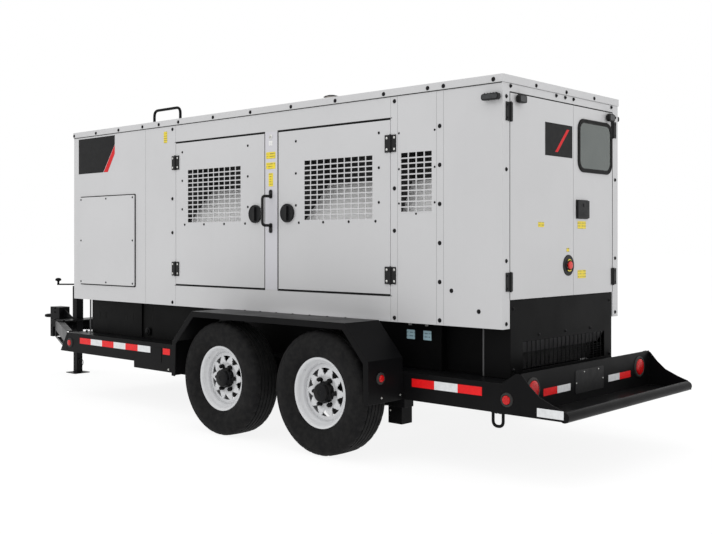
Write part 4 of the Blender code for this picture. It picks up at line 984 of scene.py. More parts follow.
def rear_doors():
    """Bolts, hinge leaves, labels and seals of the rear face."""
    bolts = Shape()
    for sy in (-1, 1):
        for z in (2.168, 1.748, 1.22, 0.857):
            bolts.bolt((REAR_FACE, sy * 0.656, z), ALONG, 0.0095)
    roof_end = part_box("roof")[1].x
    for y in (-0.345, 0.007, 0.36):
        bolts.bolt((roof_end, y, 2.265), ALONG, 0.0095)
    for y in (-0.614, -0.107, 0.0, 0.102, 0.601):
        bolts.bolt((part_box("rear_header")[1].x, y, 2.232), ALONG, 0.009, 0.01)
    piece("rear_bolts", bolts, "black_oxide")
    for side, sy in SIDES:
        leaves, screws, covers = shapes(3)
        for z in REAR_HINGES:
            hinge_leaf(leaves, screws, (REAR_FACE, sy * (REAR_PIN_Y + 0.0075), z), (0, sy, 0), ALONG, 0.037,
                z)
            covers.box((REAR_FACE + 0.0001, sy * REAR_PIN_Y, z - HINGE_HEIGHT / 2 - 0.0006),
                (REAR_FACE + 0.0066, sy * (REAR_PIN_Y - 0.023), z + HINGE_HEIGHT / 2 + 0.0006))
            hinge_barrel(covers, leaves, REAR_PIN_X, sy * REAR_PIN_Y, z)
        piece(f"rear_hinge_leaves_{side}", leaves, "black_plastic", bevel=0.0015)
        piece(f"rear_hinge_leaf_screws_{side}", screws, "black_oxide")
        piece(f"rear_hinge_cover_{side}", covers, "black_plastic", f"rear_door_{side}", 0.001)
    for side, spots in (("right", ((0.155, 1.414, 0.259, 1.462), (0.155, 1.098, 0.259, 1.15))),
            ("left", ((-0.315, 1.42, -0.248, 1.45), (0.018, 1.268, 0.05, 1.292)))):
        labels = Shape()
        for y0, z0, y1, z1 in spots:
            labels.pad((y0, z0), (y1, z1), 0.004, "x", REAR_FACE - SUNK, REAR_FACE + FILM, steps=2)
        piece(f"rear_labels_{side}", labels, "yellow_label", f"rear_door_{side}")
    piece("rear_door_seal", Shape().box((2.8215, 0.1027, 1.002), (2.8465, 0.1042, 2.186)), "seal_rubber",
        "rear_door_left")
    trim = Shape()
    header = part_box("rear_header")[0].z
    trim.box((2.846, -REAR_PIN_Y, header - 0.0022), (REAR_FACE + 0.0008, REAR_PIN_Y, header + 0.004))
    for sy in (-1, 1):
        trim.box((2.844, sy * 0.6172, DOOR_LOW - 0.006), (REAR_FACE + 0.0006, sy * 0.6222, header + 0.002))
    piece("rear_edge_trim", trim, "seal_rubber", bevel=0.0003, segments=1)


def window_frame():
    """Rubber glazing channel round the rear window, a filler strip in it, and the glass itself."""
    y0, y1, z0, z1 = 0.155, 0.604, 1.777, 2.12
    back, front = 2.8505, 2.8572
    outer = rounded((y0, z0), (y1, z1), 0.07, 8)
    inner = rounded((y0 + 0.026, z0 + 0.026), (y1 - 0.026, z1 - 0.026), 0.052, 8)
    frame_shape = Shape()
    rings = []
    levels = ((outer, back), (outer, front - 0.002), (inset_between(outer, inner, 0.12), front + 0.0015),
        (inset_between(outer, inner, 0.4), front + 0.002), (inset_between(outer, inner, 0.47), front),
        (inset_between(outer, inner, 0.58), front), (inset_between(outer, inner, 0.65), front + 0.002),
        (inset_between(outer, inner, 0.92), front + 0.0005), (inner, front - 0.003), (inner, back))
    for outline, x in levels:
        rings.append([frame_shape.mesh.verts.new((x, y, z)) for y, z in outline])
    frame_shape.skin(rings, closed=True)
    piece("window_rubber", frame_shape, "seal_rubber", "rear_door_right", smooth=50)
    piece("window_pane", Shape().pad((y0 + 0.02, z0 + 0.02), (y1 - 0.02, z1 - 0.02), 0.056, "x", 2.8515,
        2.8545, steps=8), "window_glass", "rear_door_right", stands_for=("rear_window",))


def inset_between(outer, inner, share):
    """An outline part of the way from one to another."""
    return [(a[0] + (b[0] - a[0]) * share, a[1] + (b[1] - a[1]) * share) for a, b in zip(outer, inner)]


def paddle_latch():
    """Mounting plate, finger ribs and key barrel of the rear paddle latch."""
    plate = Shape()
    low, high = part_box("rear_latch")
    plate.pad((low.y - 0.003, low.z - 0.004), (high.y + 0.003, high.z + 0.004), 0.005, "x",
        REAR_FACE - SUNK, REAR_FACE + 0.0013)
    piece("latch_plate", plate, "dark_plastic", "rear_door_right", 0.0005, segments=1)
    ridge = Shape()
    mid = (low + high) / 2
    for z in spaced(low.z + 0.016, 0.011, 4):
        ridge.box((high.x - 0.001, mid.y - 0.04, z - 0.002), (high.x + 0.0015, mid.y + 0.04, z + 0.002))
    ridge.turned((high.x, mid.y, high.z - 0.03), ALONG,
        [(0.012, -0.0005), (0.012, 0.002), (0.009, 0.003), (0.0, 0.003)], 24)
    piece("paddle_ribs", ridge, "dark_plastic", "rear_latch", 0.0006, segments=1)


def emergency_stop():
    """Mushroom button over a black collar, with blank yellow tags above and below."""
    centre = (REAR_FACE, 0.04, 1.183)
    piece("stop_collar", Shape().turned(centre, ALONG, [(0.066, -0.0005), (0.066, 0.0025), (0.063, 0.005),
        (0.041, 0.005), (0.039, 0.0095), (0.032, 0.0095), (0.031, 0.0004), (0.016, 0.0004),
        (0.016, -0.0005)], 40, closed=True), "black_plastic", "rear_door_left")
    low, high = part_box("emergency_stop")
    piece("stop_button", Shape().turned((0.0, centre[1], centre[2]), ALONG,
        [(0.011, low.x), (0.011, high.x - 0.02), (0.0225, high.x - 0.0198), (0.025, high.x - 0.018),
        (0.025, high.x - 0.013), (0.0235, high.x - 0.0105), (0.019, high.x - 0.0092),
        (0.012, high.x - 0.0087), (0.0, high.x - 0.0086)], 40), "red_plastic", "emergency_stop",
        stands_for=("emergency_stop",))
    tags = Shape()
    for sign in (-1, 1):
        ring = [(centre[1] + u, centre[2] + sign * v) for u, v in arc((0, 0), 0.0395, 55, 125,
            8) + arc((0, 0), 0.0325, 125, 55, 8)]
        tags.plate(ring, "x", REAR_FACE + 0.009, REAR_FACE + 0.0102)
    piece("stop_tags", tags, "yellow_label", "rear_door_left")


def lower_panel():
    """Bolts, inclined mesh, painted-shade backing and painted-highlight sheet of the dark panel under the
    rear doors.
    """
    low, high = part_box("rear_lower_panel")
    bolts = Shape()
    for y in (-0.3, 0.01, 0.32):
        bolts.bolt((high.x, y, 0.772), ALONG, 0.0085)
    for y in (low.y + 0.03, high.y - 0.03):
        for z in (low.z + 0.05, 0.94):
            bolts.bolt((high.x, y, z), ALONG, 0.0085)
    piece("lower_panel_bolts", bolts, "black_oxide")
    mesh = Shape()
    x = high.x - 0.012
    for y in spaced(-0.5, 0.0164, 64):
        mesh.rod((x - 0.016, y, 0.565), (x - 0.007, y, 0.66), 0.0014, sides=6)
    for step in range(7):
        z = 0.566 + step * 0.0157
        mesh.rod((x - 0.0155 + step * 0.0014, -0.505, z), (x - 0.0155 + step * 0.0014, 0.535, z), 0.0014,
            sides=6)
    piece("lower_panel_mesh", mesh, "black_oxide")
    # A dark foam plate behind the mesh: painted shade where the panel's inside is in shadow.
    piece("lower_panel_shade_backing", Shape().plate([(2.7, 0.548), (2.703, 0.548), (2.742, 0.775), (2.739, 0.775)],
        "y", -0.56, 0.575), "foam")
    # A grey inclined sheet behind the mesh: a painted highlight line.
    piece("lower_panel_sheet", Shape().plate([(2.78, 0.665), (2.783, 0.665), (high.x - 0.006, 0.742),
        (high.x - 0.009, 0.742)], "y", -0.5, 0.53), "edge_highlight_and_wear")


# --- Base and frame

@each_side
def tank_details(side, sy):
    """Painted-shade slots, plug, lugs and blank stickers on the tank base's sides, and painted highlights on
    its corners.
    """
    face = sy * TANK_FACE
    # The slots are flat dark patches on the face: painted shade where the recesses are.
    slots = Shape()
    for x in (-1.415, -1.322, -1.016, -0.925):
        slots.pad((x - 0.0135, 0.661), (x + 0.0135, 0.723), 0.012, "y", face - sy * 0.002,
            face + sy * 0.0006)
    slots.pad((-1.238, 0.737), (-1.206, 0.747), 0.0045, "y", face - sy * 0.002, face + sy * 0.0006)
    piece(f"tank_slot_shades_{side}", slots, "shadow_gap")
    fittings, plug = shapes(2)
    plug.turned((-0.705, face, 0.587), (0, sy, 0), [(0.034, -0.001), (0.034, 0.004), (0.03, 0.006),
        (0.02, 0.006), (0.02, 0.012), (0.014, 0.014), (0.0, 0.014)], 28)
    piece(f"tank_plug_{side}", plug, "frame_paint", bevel=0.001)
    for x in (2.098, 2.23):
        fittings.pad((x - 0.011, 0.805), (x + 0.011, 0.822), 0.004, "y", face, face + sy * 0.01)
    piece(f"tank_fittings_{side}", fittings, "bare_steel", bevel=0.001)
    stickers = Shape()
    for x0, x1 in ((2.066, 2.131), (2.199, 2.262)):
        stickers.pad((x0, 0.717), (x1, 0.776), 0.004, "y", face - sy * SUNK, face + sy * FILM, steps=2)
    piece(f"tank_stickers_{side}", stickers, "blue_label")
    # Grey rods on the tank's front and rear corners: painted highlights along the rounded corners.
    ribs = Shape()
    for x, width in ((TANK_FRONT, 0.007), (2.655, 0.008)):
        ribs.rod((x - 0.002, face - sy * 0.003, TANK_LOW + 0.002),
            (x - 0.002, face - sy * 0.003, TANK_HIGH - 0.003), width, sides=14)
    piece(f"tank_corner_highlights_{side}", ribs, "edge_highlight_and_wear")
    seams = Shape()
    for x in (-0.796, -0.64):
        seams.rod((x, face - sy * 0.003, TANK_LOW + 0.002), (x, face - sy * 0.003, TANK_HIGH - 0.003),
            0.0045, sides=14)
    piece(f"tank_seams_{side}", seams, "frame_paint")


def tape_strip(name, face, start, end, low, high, colours):
    """Reflective tape on a side rail, as segments of alternating colour from front to rear."""
    width = (end - start) / len(colours)
    sy = 1 if face > 0 else -1
    for colour in sorted(set(colours)):
        strip = Shape()
        for index, this in enumerate(colours):
            if this == colour:
                x = start + index * width
                strip.box((x, face - sy * SUNK, low), (x + width - 0.0004, face + sy * 0.0011, high))
        piece(f"{name}_{colour}", strip, f"{colour}_tape")


def marker_lamp(name, centre, normal, radius=0.03, material="red_lens"):
    """Round marker lamp in a rubber grommet."""
    ring, glass = shapes(2)
    rim_radius = radius * 1.12 + 0.012
    ring.turned(centre, normal, [(rim_radius, -0.0005), (rim_radius - 0.0006, 0.004),
        (rim_radius - 0.005, 0.009), (radius * 1.12, 0.01), (radius * 1.02, 0.007),
        (radius * 1.02, -0.0005)], 36, closed=True)
    piece(f"{name}_grommet", ring, "worn_rubber")
    glass.turned(centre, normal, [(radius, 0.0003), (radius, 0.009), (radius * 0.93, 0.0125),
        (radius * 0.7, 0.015), (radius * 0.35, 0.0162), (0.0, 0.0165)], 36)
    piece(f"{name}_lens", glass, material)


@each_side
def rail_trim(side, sy):
    """Tape, marker lamps and bolt heads along both rails, fenders and tray sides."""
    face = sy * RAIL_FACE
    tape_strip(f"front_tape_{side}", face, -1.434, -0.41, 0.45, 0.5,
        ("red", "white", "red", "white", "red", "white"))
    tape_strip(f"rear_tape_{side}", face, 2.258, 2.772, 0.452, 0.502, ("red", "white", "red"))
    tape_strip(f"tray_tape_{side}", face, 3.135, 3.3, 0.378, 0.425, ("white",))
    tape_strip(f"mid_tape_{side}", face, -0.245, -0.155, 0.45, 0.498, ("red",))
    marker_lamp(f"front_marker_{side}", (-1.592, face, 0.447), (0, sy, 0), 0.026)
    marker_lamp(f"rear_marker_{side}", (2.941, face, 0.447), (0, sy, 0), 0.026)
    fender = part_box(f"fender_{side}")[1].x
    marker_lamp(f"fender_marker_{side}", (fender, sy * 1.0, 0.517), ALONG, 0.022)
    piece(f"rail_patch_{side}", Shape().plate([(-0.38, 0.4), (-0.34, 0.5), (-0.262, 0.5), (-0.262, 0.385),
        (-0.3, 0.372), (-0.36, 0.374)], "y", face - sy * 0.001, face + sy * 0.003), "frame_paint",
        bevel=0.001)
    bolts = Shape()
    for x, z in ((-0.172, 0.338), (2.085, 0.29)):
        bolts.nut((x, face, z), (0, sy, 0), 0.0065, 0.006)
    for y, z in ((0.99, 0.4), (0.815, 0.399)):
        bolts.nut((fender, sy * y, z), ALONG, 0.005, 0.005)
    piece(f"rail_bolts_{side}", bolts, "zinc")


def bumper_fittings():
    """Round tail lamps, tape and the licence-plate bracket on the bumper plate."""
    for name, y, z in (("tail_lamp_left", -0.668, 0.5), ("tail_lamp_right", 0.634, 0.505)):
        marker_lamp(name, (BUMPER_FACE, y, z), ALONG, 0.052)
    for colour, spans in (("red", ((-0.554, -0.404), (0.364, 0.513))),
            ("white", ((-0.402, -0.253), (0.215, 0.362)))):
        strip = Shape()
        for y0, y1 in spans:
            strip.box((BUMPER_FACE - SUNK, y0, 0.45), (BUMPER_FACE + 0.0011, y1, 0.492))
        piece(f"bumper_tape_{colour}", strip, f"{colour}_tape")
    bracket = Shape()
    bracket.pad((-0.198, 0.42), (0.15, 0.56), 0.012, "x", BUMPER_FACE + 0.0003, BUMPER_FACE + 0.0035)
    piece("licence_bracket", bracket, "black_plastic", bevel=0.0015)
    bolts = Shape()
    for y, z in ((-0.093, 0.544), (0.082, 0.546), (-0.186, 0.484), (0.138, 0.484)):
        bolts.bolt((BUMPER_FACE + 0.0033, y, z), ALONG, 0.004, 0.003)
    piece("licence_bracket_bolts", bolts, "zinc")


# --- Running gear
TREAD = ((0.0935, 0.3835), (0.079, 0.389), (0.064, 0.3896), (0.0622, 0.3825), (0.0572, 0.3825),
    (0.0554, 0.39), (0.035, 0.3906), (0.0332, 0.383), (0.0282, 0.383), (0.0264, 0.3907), (0.0048, 0.391),
    (0.003, 0.3832))
SIDEWALL = ((0.076, 0.204), (0.08, 0.208), (0.0825, 0.218), (0.087, 0.2245), (0.094, 0.23),
    (0.0985, 0.2345), (0.099, 0.2365), (0.1015, 0.2385), (0.112, 0.26), (0.119, 0.283), (0.1215, 0.303),
    (0.1205, 0.324), (0.1165, 0.3425), (0.1115, 0.3545), (0.1125, 0.3565), (0.1105, 0.361), (0.106, 0.37),
    (0.1, 0.3775))


def tyre_profile():
    """Closed section of the tyre: outer side, tread with its grooves, inner side, hollow inside."""
    half = [(radius, along) for along, radius in SIDEWALL + TREAD]
    outside = half + [(radius, -along) for radius, along in reversed(half)]
    inside = [(0.21, -0.076), (0.3, -0.106), (0.37, -0.09), (0.37, 0.09), (0.3, 0.106), (0.21, 0.076)]
    return outside + inside


def tyres():
    """Ribbed highway tyres: grooves round the tread, and notches across both shoulders."""
    profile = tyre_profile()
    notched = {index for index, (radius, along) in enumerate(profile) if 0.06 < abs(along) < 0.1
        and radius > 0.383}
    for side, sy in SIDES:
        for place in PLACES:
            piece(f"ribbed_tyre_{side}_{place}", Shape().turned((WHEEL_X[place], sy * WHEEL_Y, WHEEL_Z),
                (0, sy, 0), profile, 180, closed=True, wobble=lambda row, step: -0.0045 if row in notched
                and step % 5 == 0 else 0.0), "tyre_rubber", f"wheel_{side}_{place}", smooth=26,
                stands_for=(f"tyre_{side}_{place}",))


def rim(shape, centre, sy):
    """Pressed steel rim: rolled lips and drop centre; the dished disc with ten hand holes comes from disc."""
    barrel = [(0.22, 0.0885), (0.2225, 0.0865), (0.2225, 0.0835), (0.2195, 0.0815), (0.206, 0.08),
        (0.203, 0.072), (0.202, 0.057), (0.186, 0.046), (0.184, 0.02), (0.198, 0.002), (0.202, -0.063),
        (0.203, -0.072), (0.206, -0.08), (0.2195, -0.0815), (0.2225, -0.0835), (0.2225, -0.0865),
        (0.22, -0.0885), (0.215, -0.0865), (0.211, -0.083), (0.2, -0.077), (0.1985, -0.063), (0.1945, 0.0),
        (0.18, 0.018), (0.1805, 0.03), (0.1815, 0.044), (0.187, 0.05), (0.195, 0.058), (0.199, 0.068),
        (0.2045, 0.0775), (0.211, 0.0845), (0.215, 0.0872)]
    shape.turned(centre, (0, sy, 0), barrel, 96, closed=True)


def disc_height(radius):
    """How far outwards the disc stands at a radius: a hub flat, a raised ring, and a slope to the rim."""
    table = ((0.0, 0.025), (0.07, 0.025), (0.092, 0.03), (0.104, 0.037), (0.118, 0.04), (0.15, 0.033),
        (0.17, 0.027), (0.1815, 0.025))
    for (r0, h0), (r1, h1) in zip(table, table[1:]):
        if radius <= r1:
            share = (radius - r0) / (r1 - r0)
            share = share * share * (3 - 2 * share)
            return h0 + (h1 - h0) * share
    return table[-1][1]


def disc(shape, centre, sy):
    """The dished disc: a polar sheet with ten three-cornered hand holes left out of it."""
    holes, steps = 10, 160
    radii = [0.04, 0.056, 0.07, 0.084, 0.096, 0.104, 0.11, 0.116, 0.122, 0.128, 0.134, 0.14, 0.146, 0.152,
        0.16, 0.17, 0.1815]
    per = steps // holes
    origin = Vector(centre)

    def open_cell(ring, step):
        radius = (radii[ring] + radii[ring + 1]) / 2
        if not 0.109 < radius < 0.156:
            return False
        share = (radius - 0.108) / (0.152 - 0.108)
        offset = abs(step % per + 0.5 - per / 2)
        return offset < 0.8 + share * per * 0.33
    corners = {}

    def corner(ring, step, level):
        key = (ring, step % steps, level)
        if key not in corners:
            angle = tau * step / steps
            radius = radii[ring]
            out = sy * (disc_height(radius) - level * 0.006)
            corners[key] = shape.mesh.verts.new(origin + Vector((radius * cos(angle), out,
                radius * sin(angle))))
        return corners[key]
    for ring in range(len(radii) - 1):
        for step in range(steps):
            if open_cell(ring, step):
                continue
            for level in (0, 1):
                shape.mesh.faces.new((corner(ring, step, level), corner(ring, step + 1, level),
                    corner(ring + 1, step + 1, level), corner(ring + 1, step, level)))
            borders = (((ring, step), (ring, step + 1), (ring - 1, step)),
                ((ring + 1, step), (ring + 1, step + 1), (ring + 1, step)),
                ((ring, step), (ring + 1, step), (ring, step - 1)),
                ((ring, step + 1), (ring + 1, step + 1), (ring, step + 1)))
            for first, second, (near_ring, near_step) in borders:
                edge = near_ring in (-1, len(radii) - 1)
                if edge or open_cell(near_ring, near_step % steps):
                    shape.mesh.faces.new((corner(*first, 0), corner(*second, 0), corner(*second, 1),
                        corner(*first, 1)))


@each_side
def wheels(side, sy):
    """Rims, black hubs with their caps, and six lug nuts on each wheel."""
    for place in PLACES:
        body = f"wheel_{side}_{place}"
        centre = (WHEEL_X[place], sy * WHEEL_Y, WHEEL_Z)
        shape = Shape()
        rim(shape, centre, sy)
        disc(shape, centre, sy)
        shape.rod((centre[0] - 0.15, centre[1] + sy * 0.066, centre[2] + 0.128),
            (centre[0] - 0.147, centre[1] + sy * 0.074, centre[2] + 0.123), 0.004)
        piece(f"steel_rim_{side}_{place}", shape, "wheel_paint", body, smooth=45,
            stands_for=(f"wheel_{side}_{place}",))
        hub = Shape()
        hub.turned(centre, (0, sy, 0), [(0.0, -0.08), (0.06, -0.08), (0.075, -0.06), (0.075, 0.01),
            (0.0665, 0.0262), (0.066, 0.05), (0.064, 0.056), (0.059, 0.06), (0.058, 0.078), (0.055, 0.084),
            (0.047, 0.088), (0.016, 0.09), (0.013, 0.087), (0.0, 0.087)], 40)
        for u, v in around(0.05, 6, 0.5):
            hub.turned((centre[0] + u, centre[1], centre[2] + v), (0, sy, 0),
                [(0.02, 0.0262), (0.02, 0.048), (0.014, 0.053), (0.0, 0.053)], 16)
        piece(f"hub_{side}_{place}", hub, "black_oxide", body, smooth=40)
        nuts = Shape()
        for u, v in around(0.087, 6):
            foot, waist, head, tip = (Vector((centre[0] + u, centre[1] + sy * out,
                centre[2] + v)) for out in (0.0275, 0.0355, 0.0535, 0.0615))
            nuts.rod(foot, waist, 0.0175, 0.0145, 20)
            nuts.rod(waist, head, 0.0145, sides=6)
            nuts.rod(head, tip, 0.013, 0.008, 12)
        piece(f"lug_nuts_{side}_{place}", nuts, "black_oxide", body, 0.0008, segments=1)


# --- Under the canopy

def ring_of(shape, centre, axis, radius, count, make, start=0.0):
    """Repeats a small part round an axis; make gets the shape and each spot."""
    turn = Vector(axis).to_track_quat("Z", "Y").to_matrix()
    for u, v in around(radius, count, start * count / tau):
        make(shape, Vector(centre) + turn @ Vector((u, v, 0.0)))


def bellows(shape, points, radius, pitch=0.012):
    """A corrugated hose or flexible pipe along a smooth route."""
    shape.tube(points, radius * 0.9, 16)
    run = 0.0
    for before, after in zip(points, points[1:]):
        before, after = Vector(before), Vector(after)
        length = (after - before).length
        while run < length:
            at = before + (after - before) * (run / length)
            shape.turned(at, after - before, [(radius * 0.88, -pitch * 0.32), (radius, -pitch * 0.12),
                (radius, pitch * 0.12), (radius * 0.88, pitch * 0.32)], 16)
            run += pitch
        run -= length


def engine_top():
    """Rocker covers with their bolts, injector lines and the two manifolds."""
    covers, bolts, lines = shapes(3)
    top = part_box("engine")[1].z
    for step in range(6):
        x = -0.675 + step * 0.205
        covers.pad((x - 0.088, -0.092), (x + 0.088, 0.092), 0.024, "z", top - 0.001, top + 0.05)
        covers.pad((x - 0.07, -0.074), (x + 0.07, 0.074), 0.02, "z", top + 0.049, top + 0.056)
        for y in (-0.05, 0.05):
            bolts.nut((x, y, top + 0.0555), UP, 0.009, 0.01)
        lines.hose([(x - 0.03, -0.09, top + 0.02), (x - 0.03, -0.15, top + 0.035),
            (x - 0.03, -LOOM_Y, top - 0.06), (0.1 + step * 0.012, -0.272, 1.36)], 0.03, 0.0035, 8)
    piece("rocker_covers", covers, "engine_paint", bevel=0.005, segments=3)
    piece("rocker_bolts", bolts, "black_oxide")
    piece("injector_lines", lines, "zinc")
    intake, exhaust = shapes(2)
    intake.rod((-0.72, -0.3, 1.535), (0.46, -0.3, 1.535), 0.042, sides=28)
    exhaust.rod((-0.72, MANIFOLD_Y, 1.5), (0.5, MANIFOLD_Y, 1.5), 0.037, sides=28)
    for x in spaced(-0.675, 0.205, 6):
        for shape, sy, z, radius in ((intake, -1, 1.535, 0.028), (exhaust, 1, 1.5, 0.026)):
            shape.rod((x, sy * 0.238, z), (x, sy * 0.3, z), radius, sides=20)
            shape.pad((x - 0.044, z - 0.034), (x + 0.044, z + 0.034), 0.012, "y", sy * 0.2395, sy * 0.252)
            for u in (-0.034, 0.034):
                shape.nut((x + u, sy * 0.2515, z), (0, sy, 0), 0.008, 0.009)
    piece("intake_manifold", intake, "cast_aluminium", bevel=0.002)
    piece("exhaust_manifold", exhaust, "exhaust_metal", bevel=0.002)


def turbocharger():
    """Turbocharger on the exhaust manifold, and its bellows pipe to the silencer."""
    centre = Vector((0.545, MANIFOLD_Y, 1.59))
    hot, cold, pipe, clamp = shapes(4)
    for shape, x, radius in ((hot, 0.512, 0.062), (cold, 0.592, 0.066)):
        for step in range(18):
            angle = tau * step / 18
            reach, size = radius * (0.82 + 0.012 * step), 0.022 + 0.0009 * step
            following = tau * (step + 1.6) / 18
            shape.rod((x, centre.y + reach * cos(angle), centre.z + reach * sin(angle)),
                (x, centre.y + reach * cos(following), centre.z + reach * sin(following)), size, sides=14)
        shape.rod((x - 0.02, centre.y, centre.z), (x + 0.02, centre.y, centre.z), radius * 0.92, sides=32)
    hot.rod((0.5, MANIFOLD_Y, 1.5), (0.512, MANIFOLD_Y, 1.54), 0.034, sides=20)
    cold.rod((0.548, centre.y, centre.z), (0.56, centre.y, centre.z), 0.03, sides=24)
    cold.rod((0.6, centre.y, centre.z), (0.64, centre.y, centre.z), 0.036, 0.04, 24)
    piece("turbo_hot_side", hot, "exhaust_metal", smooth=50)
    piece("turbo_cold_side", cold, "cast_aluminium", smooth=50)
    route = smooth_path([(0.47, MANIFOLD_Y, 1.6), (0.38, 0.29, 1.64), (0.33, 0.2, 1.82),
        (0.345, 0.04, SILENCER_Z), (0.426, 0.0, SILENCER_Z)], 0.07, 10)
    bellows(pipe, route, 0.046, 0.011)
    piece("exhaust_bellows", pipe, "exhaust_metal", smooth=60)
    for place in ((0.418, 0.0, SILENCER_Z), (0.472, MANIFOLD_Y, 1.599)):
        clamp.turned(place, ALONG, [(0.047, -0.008), (0.054, -0.007), (0.054, 0.007), (0.047, 0.008)], 32,
            closed=True)
    piece("exhaust_clamps", clamp, "zinc")


def engine_sides():
    """Filters, pump, starter, dipstick, wiring loom and mounting bolts on the engine's flanks."""
    heads, cans, bodies, loom, small = shapes(5)
    for sy, spots, radius, top, drop in ((-1, (-0.1, 0.02), 0.047, 1.29, 0.17),
            (1, (-0.34, -0.19), 0.06, 1.25, 0.23)):
        y = sy * (0.246 + radius)
        heads.pad((spots[0] - radius, min(sy * 0.239, sy * 0.3 + sy * radius)),
            (spots[1] + radius, max(sy * 0.239, sy * 0.3 + sy * radius)), 0.012, "z", top, top + 0.045)
        for x in spots:
            cans.turned((x, y, top), (0, 0, -1), [(radius * 0.92, 0.0), (radius * 0.95, 0.006),
                (radius, 0.014), (radius, drop - 0.03), (radius * 0.93, drop - 0.012),
                (radius * 0.7, drop - 0.002), (0.0, drop)], 32)
            for u, v in around(radius * 0.985, 14):
                cans.rod((x + u, y + v, top - drop + 0.066), (x + u, y + v, top - drop + 0.028), 0.004,
                    sides=6)
    piece("filter_heads", heads, "cast_aluminium", bevel=0.003)
    piece("filter_cans", cans, "filter_paint", smooth=45)
    bodies.rod((0.12, -0.292, 1.3), (0.4, -0.292, 1.3), 0.05, sides=28)
    bodies.pad((0.14, -0.33), (0.38, -0.2395), 0.01, "z", 1.298, 1.368)
    for step in range(6):
        bodies.rod((0.15 + step * 0.036, -0.285, 1.366), (0.15 + step * 0.036, -0.285, 1.392), 0.011,
            sides=14)
    bodies.rod((0.26, 0.3, 1.02), (0.56, 0.3, 1.02), 0.056, sides=32)
    bodies.rod((0.3, 0.276, 1.104), (0.5, 0.276, 1.104), 0.03, sides=24)
    bodies.rod((-0.8, -0.296, 1.3), (-0.66, -0.296, 1.3), 0.07, sides=32)
    piece("pump_starter_dynamo", bodies, "black_oxide", bevel=0.002, smooth=40)
    loom.hose([(0.61, -LOOM_Y, 1.235), (0.3, -LOOM_Y, 1.205), (-0.2, -0.264, 1.4), (-0.56, -LOOM_Y, 1.39),
        (-0.64, -0.268, 1.33)], 0.06, 0.0105, 12, 8)
    loom.hose([(0.56, LOOM_Y, 1.12), (0.42, 0.268, 1.215), (-0.1, LOOM_Y, 1.34), (-0.64, LOOM_Y, 1.33)],
        0.06, 0.009, 12, 8)
    loom.hose([(0.61, -LOOM_Y, 1.235), (0.64, -0.33, 1.16), (0.76, -0.33, 0.96), (1.5, -0.33, 0.85)], 0.06,
        0.0105, 12, 8)
    piece("wiring_loom", loom, "black_plastic", smooth=60)
    for x, z in ((0.45, 1.222), (0.06, 1.3), (-0.38, 1.396)):
        small.band((x, -LOOM_Y, z), ALONG, 0.0105, 0.0135, 0.006, 20)
    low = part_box("engine")[0]
    for sy in (-1, 1):
        for x in (low.x + 0.1, 0.5):
            small.nut((x, sy * 0.28, low.z + 0.02), UP, 0.013, 0.013)
    piece("engine_fasteners", small, "zinc")
    piece("dipstick_tube", Shape().hose([(-0.48, -0.244, 1.05), (-0.48, -0.272, 1.12),
        (-0.47, -0.272, 1.43), (-0.46, -0.3, 1.64)], 0.05, 0.0055, 10, 6), "zinc", smooth=60)
    pull = Shape()
    pull.band((-0.4575, -0.307, 1.678), ACROSS, 0.014, 0.022, 0.003, 24)
    pull.rod((-0.46, -0.3, 1.636), (-0.458, -0.306, 1.658), 0.0075, 0.006, 14)
    piece("dipstick_pull", pull, "yellow_plastic", smooth=50)


def air_cleaner():
    """Air cleaner canister with its bands, on brackets over the engine, and its elbow to the intake."""
    can, straps, elbow = shapes(3)
    x0, y, z, radius = -0.64, -0.15, 1.905, 0.118
    can.turned((x0, y, z), ALONG, [(0.0, 0.0), (0.06, 0.0), (0.09, 0.006), (radius - 0.004, 0.02),
        (radius, 0.034), (radius, 0.15), (radius + 0.006, 0.153), (radius + 0.006, 0.166), (radius, 0.169),
        (radius, 0.47), (radius - 0.012, 0.492), (0.055, 0.5), (0.055, 0.54), (0.0, 0.54)], 48)
    piece("air_cleaner", can, "black_plastic", smooth=40)
    for x in (x0 + 0.23, x0 + 0.42):
        straps.band((x, y, z), ALONG, radius + 0.0003, radius + 0.0025, 0.012, 48)
        straps.box((x - 0.018, y - 0.03, 1.708), (x + 0.018, y + 0.03, 1.712))
        for sy in (-1, 1):
            straps.box((x - 0.018, y + sy * 0.028 - 0.002, 1.708), (x + 0.018, y + sy * 0.028 + 0.002, 1.8))
    piece("air_cleaner_straps", straps, "zinc", bevel=0.001)
    route = smooth_path([(x0 + 0.535, y, z), (x0 + 0.68, y, z), (0.12, -0.23, 1.8), (0.12, -0.3, 1.6),
        (0.12, -0.3, 1.56)], 0.075, 10)
    bellows(elbow, route, 0.048, 0.016)
    piece("intake_hose", elbow, "seal_rubber", smooth=60)


